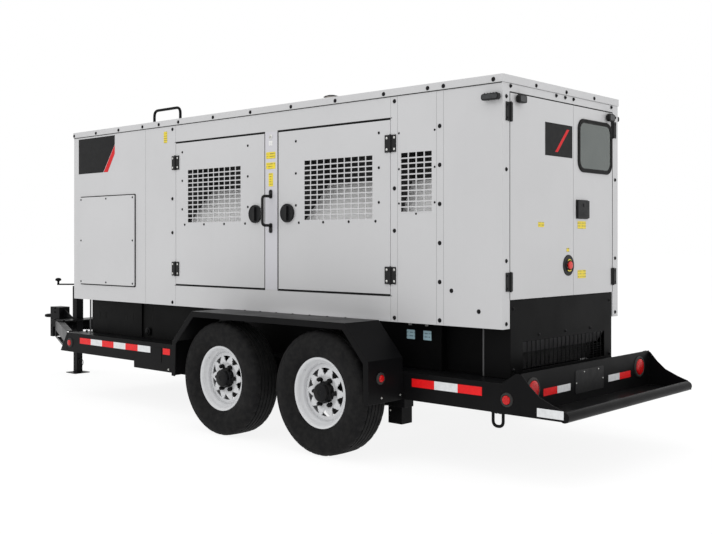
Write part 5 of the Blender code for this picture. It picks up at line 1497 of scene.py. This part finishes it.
def belt_drive():
    """Pulleys and the belt at the front of the engine."""
    pulleys, belt = shapes(2)
    x = -0.838
    spots = ((0.0, 1.0, 0.095), (0.0, 1.24, 0.07), (-0.25, 1.3, 0.036))
    for y, z, radius in spots:
        pulleys.turned((x, y, z), ALONG, [(0.0, -0.022), (radius + 0.004, -0.022), (radius + 0.004, -0.018),
            (radius - 0.004, -0.006), (radius - 0.004, 0.006), (radius + 0.004, 0.018),
            (radius + 0.004, 0.022), (0.0, 0.022)], 40)
        pulleys.nut((x - 0.021, y, z), (-1, 0, 0), 0.014, 0.012)
        pulleys.rod((x + 0.02, y, z), (-0.795, y, z), 0.022, sides=20)
    piece("pulleys", pulleys, "black_oxide", bevel=0.001)

    def tangent(first, second):
        (y0, z0, r0), (y1, z1, r1) = (first, second)
        run = hypot(y1 - y0, z1 - z0)
        heading = atan2(z1 - z0, y1 - y0)
        turn = heading - acos((r0 - r1) / run)
        return ((y0 + r0 * cos(turn), z0 + r0 * sin(turn)), (y1 + r1 * cos(turn), z1 + r1 * sin(turn)),
            turn)
    legs = [tangent(spots[i], spots[(i + 1) % 3]) for i in range(3)]
    route = []
    for index in range(3):
        start, end, turn = legs[index]
        route += [(x, *start), (x, *end)]
        following = legs[(index + 1) % 3][2]
        sweep = (following - turn) % tau
        y, z, radius = spots[(index + 1) % 3]
        steps = max(2, int(sweep / 0.25))
        route += [(x, y + radius * cos(turn + sweep * k / steps),
            z + radius * sin(turn + sweep * k / steps)) for k in range(1, steps)]
    belt.tube(route, 0.0085, 8, closed=True)
    piece("drive_belt", belt, "seal_rubber", smooth=60)


def cooling():
    """Radiator tanks, cap, frame, fan shroud with its guard, and the coolant hoses."""
    low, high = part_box("radiator")
    tanks, guard, hoses, clamps, cap = shapes(5)
    tanks.pad((low.x - 0.01, -0.44), (high.x + 0.006, 0.44), 0.02, "z", high.z - 0.001, high.z + 0.075)
    for sy in (-1, 1):
        tanks.box((low.x - 0.004, sy * (high.y + 0.0003), low.z),
            (high.x + 0.004, sy * (high.y + 0.016), high.z + 0.02))
    piece("radiator_tank", tanks, "engine_black", bevel=0.004)
    cap.turned((-1.04, 0.3, high.z + 0.074), UP, [(0.026, 0.0), (0.026, 0.014), (0.04, 0.015),
        (0.042, 0.02), (0.04, 0.026), (0.02, 0.03), (0.0, 0.03)], 28)
    piece("radiator_cap", cap, "zinc")
    shroud = Shape()
    fan = Vector((-0.9, 0.0, 1.24))
    shroud.turned(fan, ALONG, [(0.392, -0.076), (0.392, -0.02), (0.384, 0.0), (0.384, 0.035),
        (0.379, 0.035), (0.379, -0.002), (0.386, -0.022), (0.386, -0.076)], 72, closed=True)
    for sy in (-1, 1):
        for z0, z1 in ((1.6, high.z), (low.z, 0.88)):
            shroud.box((high.x + 0.0005, sy * 0.465, z0), (high.x + 0.004, 0.0, z1))
        shroud.box((high.x + 0.0005, sy * 0.465, low.z), (high.x + 0.004, sy * 0.37, high.z))
    piece("fan_shroud", shroud, "black_plastic", bevel=0.0015)
    for radius in (0.08, 0.13, 0.18, 0.23, 0.28, 0.33, 0.382):
        guard.tube([(-0.852, u, fan.z + v) for u, v in around(radius, 48)], 0.0022, 6, closed=True)
    for u, v in around(1.0, 8, 0.5):
        guard.rod((-0.849, 0.085 * u, fan.z + 0.085 * v), (-0.849, 0.382 * u, fan.z + 0.382 * v), 0.0026,
            sides=6)
        guard.rod((-0.849, 0.382 * u, fan.z + 0.382 * v), (-0.868, 0.384 * u, fan.z + 0.384 * v), 0.0026,
            sides=6)
    piece("fan_guard", guard, "zinc", smooth=60)
    hoses.hose([(-0.972, 0.18, 1.775), (-0.9, 0.18, 1.775), (-0.82, 0.12, 1.73), (-0.74, 0.12, 1.655)],
        0.06, 0.03, 20, 8)
    hoses.hose([(-0.979, -0.36, 0.905), (-0.9, -0.36, 0.905), (-0.84, -0.28, 0.96), (-0.79, -0.2, 0.96)],
        0.06, 0.03, 20, 8)
    piece("coolant_hoses", hoses, "seal_rubber", smooth=60)
    for at in (Vector((-0.96, 0.18, 1.775)), Vector((-0.965, -0.36, 0.905))):
        clamps.band(at, ALONG, 0.0302, 0.0325, 0.006, 28)
        clamps.rod(at + Vector((0, 0.01, 0.035)), at + Vector((0, -0.014, 0.035)), 0.0045, sides=8)
    piece("hose_clamps", clamps, "zinc")
    bottle = Shape()
    bottle.pad((-1.06, 0.505), (-0.9, 0.625), 0.025, "z", 1.56, 1.76)
    bottle.turned((-0.98, 0.565, 1.759), UP, [(0.03, 0.0), (0.03, 0.01), (0.024, 0.012), (0.024, 0.02),
        (0.0, 0.02)], 24)
    piece("coolant_bottle", bottle, "bottle_plastic", bevel=0.006, segments=3)
    shelf = Shape()
    shelf.box((-1.065, 0.495, 1.556), (-0.895, 0.65, 1.5595))
    shelf.box((-1.065, 0.6505, 1.47), (-0.895, 0.6535, 1.5595))
    piece("bottle_shelf", shelf, "zinc", bevel=0.0008)


def alternator_details():
    """Ribs, end rings, feet bolts and the terminal box with its lid and cables."""
    ribs, box_shape, lid, cables, small = shapes(5)
    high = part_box("alternator")[1]
    centre_z, radius = ALTERNATOR_Z, 0.28
    for step in range(40):
        angle = tau * step / 40
        if abs(angle - tau * 0.25) < 0.5 or abs(angle - tau * 0.75) < 0.42:
            continue
        turn = Matrix.Translation((0.0, 0.0, centre_z)) @ Matrix.Rotation(angle, 4, "X")
        ribs.box((0.755, radius - 0.006, -0.0022), (1.245, radius + 0.01, 0.0022), turn)
    for x in (0.64, 0.74, 1.258, 1.385):
        ribs.turned((x, 0, centre_z), ALONG, [(radius - 0.004, -0.009), (radius + 0.004, -0.009),
            (radius + 0.006, -0.006), (radius + 0.006, 0.006), (radius + 0.004, 0.009),
            (radius - 0.004, 0.009)], 64, closed=True)
    ribs.turned((high.x, 0, centre_z), ALONG, [(0.125, -0.001), (0.125, 0.012), (0.112, 0.022),
        (0.06, 0.026), (0.0, 0.026)], 40)
    piece("alternator_ribs", ribs, "alternator_paint", bevel=0.0008, segments=1)
    ring_of(small, (high.x + 0.0005, 0, centre_z), ALONG, 0.235, 8,
        lambda s, p: s.nut(p, ALONG, 0.01, 0.01), 0.2)
    ring_of(small, (0.652, 0, centre_z), ALONG, radius + 0.01, 12,
        lambda s, p: s.nut(p, ALONG, 0.007, 0.014), 0.1)
    box_shape.pad((0.8, -0.17), (1.24, 0.17), 0.014, "z", 1.432, 1.6)
    piece("terminal_box", box_shape, "alternator_paint", bevel=0.003)
    lid.pad((0.792, -0.178), (1.248, 0.178), 0.018, "z", 1.6003, 1.618)
    piece("terminal_box_lid", lid, "alternator_paint", bevel=0.004)
    for x in (0.808, 1.02, 1.232):
        for y in (-0.162, 0.162):
            small.bolt((x, y, 1.6178), UP, 0.006, 0.004)
    for y in spaced(-0.105, 0.07, 4):
        small.turned((1.24, y, 1.51), ALONG, [(0.028, 0.0), (0.028, 0.01), (0.022, 0.014), (0.022, 0.026),
            (0.0185, 0.032), (0.0, 0.032)], 20)
        cables.hose([(1.268, y, 1.51), (1.42, y, 1.505), (1.64, y * 0.8, 1.25), (1.76, y * 0.8, 0.9),
            (2.1, y * 0.8, 0.862), (2.3, y * 0.8, 0.9), (2.33, y * 0.8, 1.0), (2.349, y * 0.8, 1.02)], 0.12,
            0.0165, 14, 10)
    piece("alternator_fasteners", small, "zinc")
    piece("power_cables", cables, "seal_rubber", smooth=60)


def silencer_details():
    """Bands, end seams and hangers of the silencer, and the clamp under the rain cap."""
    bands, hangers = shapes(2)
    for x in (0.44, 1.212):
        bands.turned((x, 0, SILENCER_Z), ALONG, [(0.119, -0.006), (0.1245, -0.005), (0.1245, 0.005),
            (0.119, 0.006)], 48, closed=True)
    piece("silencer_seams", bands, "exhaust_metal", smooth=50)
    for x in (0.58, 1.08):
        hangers.band((x, 0, SILENCER_Z), ALONG, 0.1203, 0.1228, 0.016, 48)
        for sy in (-1, 1):
            hangers.box((x - 0.016, sy * 0.119, SILENCER_Z), (x + 0.016, sy * 0.1235, 2.244))
            hangers.box((x - 0.016, sy * 0.119, 2.24), (x + 0.016, sy * 0.16, 2.244))
            hangers.nut((x, sy * 0.1235, 2.08), (0, sy, 0), 0.008, 0.008)
    hangers.band((EXHAUST_X, 0, 2.38), UP, 0.0504, 0.0535, 0.01, 40)
    piece("silencer_hangers", hangers, "zinc", bevel=0.0006, segments=1)


def linings():
    """Acoustic foam under the roof and on the inner faces of the side walls."""
    panels = Shape()
    for x0, x1 in ((-1.56, -0.64), (-0.56, 0.42), (1.24, 2.26)):
        panels.pad((x0, -0.6), (x1, 0.6), 0.02, "z", 2.218, 2.2445)
    for sy in (-1, 1):
        for x0, x1, z0, z1 in ((-1.56, -0.33, 0.87, 1.44), (-1.56, -0.33, 1.8, 2.18)):
            panels.pad((x0, z0), (x1, z1), 0.02, "y", sy * 0.628, sy * 0.6537)
    piece("wall_foam", panels, "foam", bevel=0.008, segments=3)


def batteries():
    """Two starting batteries in a tray, with caps, posts, clamps and leads."""
    cases, lids, posts, leads_red, leads_black, tray = shapes(6)
    for x0 in (1.48, 1.725):
        y0, y1, low = -0.56, -0.385, 0.842
        x1 = x0 + 0.225
        cases.pad((x0, y0), (x1, y1), 0.008, "z", low, low + 0.165)
        for x in spaced(x0 + 0.02, 0.023, 9):
            cases.box((x, y0 - 0.0015, low + 0.015), (x + 0.01, y0 + 0.002, low + 0.15))
        lids.pad((x0 - 0.002, y0 - 0.002), (x1 + 0.002, y1 + 0.002), 0.009, "z", low + 0.1653, low + 0.19)
        for step in range(6):
            lids.turned((x0 + 0.034 + step * 0.031, y1 - 0.055, low + 0.19), UP,
                [(0.011, 0.0), (0.011, 0.004), (0.008, 0.006), (0.0, 0.006)], 16)
        for x in (x0 + 0.03, x1 - 0.03):
            posts.rod((x, y0 + 0.035, low + 0.189), (x, y0 + 0.035, low + 0.21), 0.0105, 0.0095, 20)
            posts.turned((x, y0 + 0.035, low + 0.193), UP,
                [(0.0112, 0.0), (0.0175, 0.0), (0.0175, 0.012), (0.0112, 0.012)], 20, closed=True)
            posts.box((x - 0.008, y0 + 0.05, low + 0.194), (x + 0.008, y0 + 0.072, low + 0.204))
    leads_black.hose([(1.675, -0.49, 1.042), (1.675, -0.45, 1.06), (1.755, -0.45, 1.06),
        (1.755, -0.49, 1.042)], 0.02, 0.007, 12, 5)
    leads_black.hose([(1.92, -0.49, 1.042), (1.93, -0.42, 1.06), (1.9, -0.36, 0.9), (1.7, -0.34, 0.852),
        (0.9, -0.34, 0.85), (0.56, -0.3, 0.88)], 0.05, 0.0075, 12, 6)
    leads_red.hose([(1.51, -0.49, 1.042), (1.48, -0.43, 1.06), (1.44, -0.37, 0.9), (1.3, -0.37, 0.853),
        (0.76, -0.37, 0.853), (0.6, 0.18, 0.853), (0.52, 0.3, 0.962)], 0.05, 0.0075, 12, 6)
    piece("battery_cases", cases, "dark_plastic", bevel=0.003)
    piece("battery_lids", lids, "grey_plastic", bevel=0.002)
    piece("battery_posts", posts, "zinc", bevel=0.001)
    piece("battery_leads_black", leads_black, "seal_rubber", smooth=60)
    piece("battery_leads_red", leads_red, "red_plastic", smooth=60)
    tray.box((1.465, -0.575, 0.8335), (1.97, -0.37, 0.837))
    for y in (-0.575, -0.373):
        tray.box((1.465, y, 0.8335), (1.97, y + 0.003, 0.872))
    tray.box((1.47, -0.479, 1.033), (1.965, -0.461, 1.037))
    for x in (1.474, 1.961):
        tray.rod((x, -0.47, 0.838), (x, -0.47, 1.052), 0.004, sides=10)
        tray.nut((x, -0.47, 1.037), UP, 0.007, 0.008)
    piece("battery_tray", tray, "frame_paint", bevel=0.0008, segments=1)


def control_face():
    """The control cabinet's face: screen, keys, meters, breaker, sockets and cable lugs."""
    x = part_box("control_cabinet")[1].x
    plate = x + 0.0057
    plates, dark, screws = shapes(3)
    for y0, z0, y1, z1 in ((-0.535, 1.3, -0.01, 1.985), (0.01, 1.3, 0.535, 1.985),
            (-0.535, 0.85, 0.535, 1.28)):
        plates.pad((y0, z0), (y1, z1), 0.006, "x", x - SUNK, x + 0.006)
        for y in (y0 + 0.018, y1 - 0.018):
            for z in (z0 + 0.018, z1 - 0.018):
                screws.bolt((x + 0.0058, y, z), ALONG, 0.0055, 0.004)
    piece("cabinet_plates", plates, "cabinet_paint", bevel=0.0015)
    bezel, screen, keys = shapes(3)
    bezel.pad((0.15, 1.745), (0.495, 1.965), 0.014, "x", plate, x + 0.018)
    piece("controller_bezel", bezel, "dark_plastic", bevel=0.003)
    screen.pad((0.185, 1.83), (0.365, 1.945), 0.004, "x", x + 0.0178, x + 0.019)
    piece("controller_screen", screen, "screen", bevel=0.0005)
    for row in range(4):
        for column in range(3):
            keys.pad((0.388 + column * 0.034, 1.918 - row * 0.032),
                (0.412 + column * 0.034, 1.936 - row * 0.032), 0.004, "x", x + 0.0177, x + 0.0212)
    for column in range(5):
        keys.pad((0.19 + column * 0.036, 1.78), (0.216 + column * 0.036, 1.8), 0.004, "x", x + 0.0177,
            x + 0.0212)
    piece("controller_keys", keys, "grey_plastic", bevel=0.001, segments=1)
    for z in (1.9, 1.815):
        dark.turned((plate, 0.09, z), ALONG, [(0.036, 0.0), (0.036, 0.008), (0.03, 0.011), (0.03, 0.006),
            (0.0, 0.006)], 32)
    dark.pad((-0.4, 1.43), (-0.12, 1.76), 0.012, "x", plate, x + 0.06)
    dark.pad((-0.34, 1.52), (-0.18, 1.68), 0.01, "x", x + 0.0597, x + 0.072)
    dark.box((x + 0.0715, -0.285, 1.56), (x + 0.098, -0.235, 1.65))
    for centre_y in spaced(0.115, 0.14, 3):
        dark.pad((centre_y - 0.048, 1.455), (centre_y + 0.048, 1.56), 0.01, "x", plate, x + 0.02)
        dark.pad((centre_y - 0.04, 1.463), (centre_y + 0.04, 1.546), 0.012, "x", x + 0.0197, x + 0.03)
        dark.rod((x + 0.024, centre_y - 0.038, 1.552), (x + 0.024, centre_y + 0.038, 1.552), 0.0045,
            sides=12)
    for centre_y in spaced(-0.4, 0.2, 5):
        dark.turned((plate, centre_y, 1.16), ALONG, [(0.044, 0.0), (0.044, 0.006), (0.036, 0.01),
            (0.036, 0.046), (0.033, 0.05), (0.022, 0.05), (0.02, 0.022), (0.0, 0.022)], 32)
    for centre_y in spaced(-0.4, 0.16, 6):
        dark.pad((centre_y - 0.034, 0.93), (centre_y + 0.034, 1.04), 0.012, "x", plate, x + 0.022)
        dark.pad((centre_y - 0.026, 0.94), (centre_y + 0.026, 0.98), 0.008, "x", x + 0.0217, x + 0.028)
    piece("cabinet_fittings", dark, "dark_plastic", bevel=0.0015)
    piece("cabinet_screws", screws, "zinc")
    handles = Shape()
    for y in (-0.045, 0.045):
        handles.hose([(x + 0.005, y, 1.37), (x + 0.034, y, 1.37), (x + 0.034, y, 1.44),
            (x + 0.005, y, 1.44)], 0.012, 0.005, 12, 5)
    piece("cabinet_handles", handles, "zinc", smooth=60)
    colours = (("red_plastic", "red_plastic", -0.4), ("black_plastic", "black_plastic", -0.2),
        ("grey_plastic", "black_plastic", 0.4))
    for material, slot, y in colours:
        piece(f"lug_collar_{material}", Shape().turned((x + 0.0157, y, 1.16), ALONG,
            [(0.0363, 0.0), (0.04, 0.0), (0.04, 0.008), (0.0363, 0.008)], 32, closed=True), material)


# --- Tongue, jack, brakes, front wall and small details

def tow_eye():
    """Forged towing eye: a smooth ring with a waisted shank on a bolted flange."""
    eye, bolts = shapes(2)
    low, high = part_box("tow_eye")
    ring, bar, z = 0.054, 0.016, 0.555
    centre_x = low.x + ring + bar
    eye.tube([(centre_x + u, v, z) for u, v in around(ring, 56)], bar, 20, closed=True)
    eye.rod((centre_x + ring, 0, z), (high.x - 0.008, 0, z), 0.015, 0.024, 24)
    eye.pad((-0.0498, 0.5052), (0.0498, 0.6048), 0.01, "x", high.x - 0.01, high.x)
    piece("towing_eye", eye, "frame_paint", bevel=0.0015, smooth=40, stands_for=("tow_eye",))
    for y in (-0.036, 0.036):
        for dz in (-0.036, 0.036):
            bolts.nut((high.x - 0.0102, y, z + dz), (-1, 0, 0), 0.0085, 0.01)
    piece("towing_eye_bolts", bolts, "black_oxide")


def square(x, half, z):
    """Corners of a closed square round the centre line, at a height."""
    return [(x + u * half, v * half, z) for u, v in ((-1, -1), (1, -1), (1, 1), (-1, 1), (-1, -1))]


def weld_bead(shape, points, radius=0.003):
    """A rippled fillet weld along a route."""
    for before, after in zip(points, points[1:]):
        before, after = Vector(before), Vector(after)
        run = after - before
        count = max(2, int(run.length / 0.006))
        for step in range(count):
            at = before + run * ((step + 0.5) / count)
            shape.rod(at - run.normalized() * 0.0042, at + run.normalized() * 0.0042, radius, radius * 0.62,
                8)


def tongue_details():
    """Welds, bolts, the jack's cap and the safety-pin ring on the jack."""
    welds, bolts, ring = shapes(3)
    post_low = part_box("coupler_post")[0]
    for sy in (-1, 1):
        weld_bead(welds, [(post_low.x + 0.01, sy * 0.0605, 0.5345), (-3.01, sy * 0.0605, 0.5345)])
        weld_bead(welds, [(-1.642, sy * 0.786, 0.372), (-1.642, sy * 0.786, 0.53)])
    for x in (-2.812, -2.638):
        for y in (-0.225, 0.225):
            bolts.nut((x, y, 0.5463), UP, 0.011, 0.01)
    for z in (0.6, 0.64):
        bolts.nut((post_low.x + 0.085, -0.0602, z), (0, -1, 0), 0.008, 0.008)
        bolts.nut((post_low.x + 0.085, 0.0602, z), ACROSS, 0.008, 0.008)
    piece("tongue_welds", welds, "frame_paint", smooth=60)
    piece("tongue_bolts", bolts, "black_oxide")
    half = 0.038
    bead = Shape()
    weld_bead(bead, square(JACK_X, half + 0.001, 0.5485))
    piece("jack_weld", bead, "frame_paint", smooth=60)
    cap = Shape()
    cap.turned((JACK_X, 0, 0.88), UP, [(0.031, -0.001), (0.031, 0.003), (0.024, 0.006), (0.0125, 0.006),
        (0.0125, -0.001)], 32, closed=True)
    cap.turned((JACK_X + half, 0.0, 0.76), ALONG, [(0.008, -0.001), (0.008, 0.005), (0.004, 0.008),
        (0.0, 0.008)], 16)
    piece("jack_cap", cap, "black_oxide")
    ring.turned((JACK_X + 0.0325, 0, 0.142), ALONG, [(0.0, 0.0), (0.009, 0.0), (0.009, 0.014),
        (0.0, 0.016)], 20)
    circle = [(JACK_X + 0.052 + 0.014 * sin(tau * k / 32), 0.02 * sin(tau * k / 32),
        0.107 + 0.036 * cos(tau * k / 32)) for k in range(32)]
    ring.tube(circle, 0.0028, 8, closed=True)
    weld_bead(ring, square(JACK_X, 0.034, 0.0095))
    piece("jack_leg_pin", ring, "black_oxide", "jack_leg", smooth=60)


def jack_crank():
    """Round-edged crank arm with a turned mushroom knob."""
    crank = Shape()
    crank.rod((JACK_X, 0, 0.864), (JACK_X, 0, 0.905), 0.011, sides=28)
    heading = atan2(-0.134, -0.148)
    turn = Matrix.Translation((JACK_X, 0, 0)) @ Matrix.Rotation(heading, 4, "Z")
    crank.pad((-0.018, -0.013), (0.212, 0.013), 0.012, "z", 0.89, 0.904, turn=turn, steps=5)
    spot = turn @ Vector((0.2, 0.0, 0.0))
    crank.turned(spot, UP, [(0.0, 0.8992), (0.0115, 0.8992), (0.01, 0.924), (0.017, 0.93), (0.029, 0.936),
        (0.031, 0.942), (0.0285, 0.952), (0.018, 0.9605), (0.0, 0.963)], 36)
    piece("jack_handle", crank, "frame_paint", "jack_crank", 0.001, smooth=45, stands_for=("jack_crank",))


def running_gear_details():
    """Brake backing plates, drums, pivot caps and the brackets that carry the axle beams; the drums' black is
    partly painted shade.
    """
    for place in PLACES:
        pivot_x = WHEEL_X[place] - PIVOT_AHEAD
        brackets = Shape()
        for side, sy in SIDES:
            arm = f"suspension_arm_{side}_{place}"
            body = Shape()
            body.turned((WHEEL_X[place], sy * 0.8365, WHEEL_Z), (0, sy, 0),
                [(0.0, 0.0), (0.12, 0.0), (0.152, 0.004), (0.156, 0.01), (0.156, 0.016), (0.15, 0.016),
                (0.148, 0.008), (0.0, 0.008)], 48)
            body.turned((pivot_x, sy * 0.83, PIVOT_Z), (0, sy, 0),
                [(0.04, -0.001), (0.04, 0.004), (0.034, 0.008), (0.016, 0.009), (0.0, 0.009)], 28)
            for u, v in around(0.052, 4, 0.5):
                body.nut((WHEEL_X[place] + u, sy * 0.8385, WHEEL_Z + v), (0, sy, 0), 0.009, 0.008)
            piece(f"brake_plate_{side}_{place}", body, "frame_paint", arm, 0.0008, segments=1)
            # The drum is black partly as painted shade, so that the rim's hand holes read dark.
            piece(f"brake_drum_{side}_{place}", Shape().turned((WHEEL_X[place], sy * 0.856, WHEEL_Z),
                (0, sy, 0), [(0.056, 0.0), (0.144, 0.0), (0.15, 0.004), (0.15, 0.07), (0.146, 0.082),
                (0.056, 0.09)], 48, closed=True), "engine_black", f"wheel_{side}_{place}", 0.0015)
            for x0, x1 in ((pivot_x - 0.085, pivot_x - 0.05), (pivot_x + 0.05, pivot_x + 0.085)):
                brackets.plate([(x0, 0.22), (x1, 0.22), (x1, 0.3155), (x0, 0.3155)], "y", sy * 0.708,
                    sy * 0.78)
            for x in (pivot_x - 0.066, pivot_x + 0.066):
                brackets.nut((x, sy * 0.78, 0.25), (0, sy, 0), 0.011, 0.009)
        piece(f"axle_brackets_{place}", brackets, "frame_paint", bevel=0.001, segments=1)


def front_wall_details():
    """Hooded louvres, bolts and two marker lamps on the front wall."""
    louvres, bolts = shapes(2)
    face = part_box("front_wall")[0].x
    for z in spaced(1.08, 0.09, 10):
        louvres.plate([(face + 0.001, z + 0.048), (face - 0.0295, z + 0.012), (face - 0.031, z + 0.013),
            (face - 0.0015, z + 0.05)], "y", -0.488, 0.488)
        for sy in (-1, 1):
            outline = [(face + 0.001, z + 0.048), (face - 0.03, z + 0.012), (face + 0.001, z + 0.004)]
            louvres.plate(outline, "y", sy * 0.4865, sy * 0.4885)
    piece("front_louvres", louvres, "canopy_paint", bevel=0.0005, segments=1)
    for y in (-0.625, 0.625):
        for z in (0.88, 1.3, 1.72, 2.14):
            bolts.bolt((face, y, z), (-1, 0, 0), 0.0105)
    piece("front_bolts", bolts, "black_oxide")
    for side, sy in SIDES:
        marker_lamp(f"front_clearance_{side}", (face, sy * 0.6, 2.18), (-1, 0, 0), 0.022, "amber_lens")


def frame_harness():
    """Split conduit and its clips along the inside of the left rail."""
    conduit, clips = shapes(2)
    conduit.hose([(-1.56, -0.64, 0.55), (-1.56, -0.66, 0.44), (-1.4, -0.685, 0.44), (2.86, -0.685, 0.44)],
        0.04, 0.0095, 12, 6)
    piece("harness_conduit", conduit, "black_plastic", smooth=60)
    for x in spaced(-1.25, 0.48, 9):
        clips.band((x, -0.685, 0.44), ALONG, 0.0098, 0.0122, 0.007, 20)
        clips.box((x - 0.007, -0.6995, 0.438), (x + 0.007, -0.6965, 0.462))
    piece("harness_clips", clips, "zinc")


@each_side
def fender_details(side, sy):
    """Bolts that hold the fenders to the rails."""
    bolts = Shape()
    low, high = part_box(f"fender_{side}")
    for step in range(7):
        x = low.x + 0.46 + step * (high.x - low.x - 0.92) / 6
        bolts.bolt((x, sy * 0.812, high.z), UP, 0.0065, 0.005)
    piece(f"fender_bolts_{side}", bolts, "black_oxide")


@each_side
def lashing_loops(side, sy):
    """Thick bent bars of the tie-down loops under the rear ends of the rails."""
    piece(f"lashing_loop_{side}", Shape().hose([(2.83, sy * 0.76, 0.366), (2.83, sy * 0.76, 0.286),
        (2.898, sy * 0.76, 0.286), (2.898, sy * 0.76, 0.366)], 0.033, 0.009, 14, 8), "frame_paint",
        smooth=60)


def window_guard():
    """Pale folded frame behind the rear window, fixed to the inside of the door."""
    guard = Shape()
    y0, y1, z0, z1 = 0.168, 0.591, 1.79, 2.107
    outer, inner = (rounded((y0, z0), (y1, z1), 0.062, 6),
        rounded((y0 + 0.03, z0 + 0.03), (y1 - 0.03, z1 - 0.03), 0.04, 6))
    rings = [[guard.mesh.verts.new((x, y, z)) for y, z in outline] for outline, x in ((outer, 2.819),
        (outer, 2.812), (inner, 2.812), (inner, 2.819))]
    guard.skin(rings, closed=True)
    piece("window_guard", guard, "canopy_paint", "rear_door_right", smooth=45)


# --- Stage, light and camera

def area_light(name, place, aim, size, power, colour=(1.0, 1.0, 1.0)):
    """A rectangular softbox that faces a point."""
    lamp = bpy.data.lights.new(name, "AREA")
    lamp.shape = "RECTANGLE"
    lamp.size, lamp.size_y = size
    lamp.energy = power
    lamp.color = colour
    holder = bpy.data.objects.new(name, lamp)
    bpy.context.scene.collection.objects.link(holder)
    holder.location = place
    holder.rotation_euler = (Vector(aim) - Vector(place)).to_track_quat("-Z", "Y").to_euler()


def floor_material():
    """Pale studio floor, lit from below like a light table, with a barely visible mottle."""
    made = Finish("studio_floor")
    made.set(base_color=made.blend(made.mottle(0.8, 3), (0.13, 0.13, 0.13), (0.145, 0.145, 0.145)),
        roughness=made.mottle(2.0, 3, 0.7, 0.8), specular_ior_level=0.0,
        emission_color=(1.0, 1.0, 1.0, 1.0), emission_strength=0.88)
    return made.material


def studio():
    """A pale floor under a soft, even studio sky, with three large softboxes."""
    bpy.ops.mesh.primitive_grid_add(size=160.0, x_subdivisions=4, y_subdivisions=4, location=(0, 0, 0))
    floor = bpy.context.object
    floor.name = "floor"
    floor.data.materials.append(floor_material())
    world = bpy.data.worlds.new("studio_sky")
    bpy.context.scene.world = world
    world.use_nodes = True
    sky = world.node_tree.nodes["Background"]
    sky.inputs["Color"].default_value = (1.0, 1.0, 1.0, 1.0)
    sky.inputs["Strength"].default_value = 1.0
    area_light("key_softbox", (-2.0, -9.5, 8.5), (0.3, 0.0, 1.0), (8.0, 5.0), 160.0)
    area_light("rear_softbox", (10.5, -1.5, 6.0), (2.0, 0.0, 1.0), (6.0, 4.0), 60.0)
    area_light("top_softbox", (0.5, 0.0, 10.0), (0.5, 0.0, 0.0), (12.0, 8.0), 260.0)
    bpy.context.scene.view_settings.view_transform = "Standard"


def camera():
    """The camera stands level, 1.33 m up, off the rear left corner."""
    lens = bpy.data.cameras.new("camera")
    lens.lens = 48.74
    lens.sensor_width = 36.0
    lens.shift_y = -25.6 / 712.0
    lens.clip_end = 300.0
    holder = bpy.data.objects.new("camera", lens)
    bpy.context.scene.collection.objects.link(holder)
    holder.location = (5.95, -5.331, 1.333)
    holder.rotation_euler = (radians(90.0), 0.0, radians(42.413))
    bpy.context.scene.camera = holder


for build in (camera, studio, finish_cad_nodes, wall_bolts, wall_seams, access_panels, mullion_fittings,
        door_hinges, door_seals_and_gap_shade, vents, side_doors, grab_handles, lifting_bails, floodlights, roof_fittings,
        weather_cap, side_decals, rear_doors, window_frame, paddle_latch, emergency_stop, lower_panel,
        tank_details, rail_trim, bumper_fittings, tyres, wheels, engine_top, turbocharger, engine_sides,
        air_cleaner, belt_drive, cooling, alternator_details, silencer_details, linings, batteries,
        control_face, tow_eye, tongue_details, jack_crank, running_gear_details, front_wall_details,
        frame_harness, fender_details, window_guard, lashing_loops):
    build()
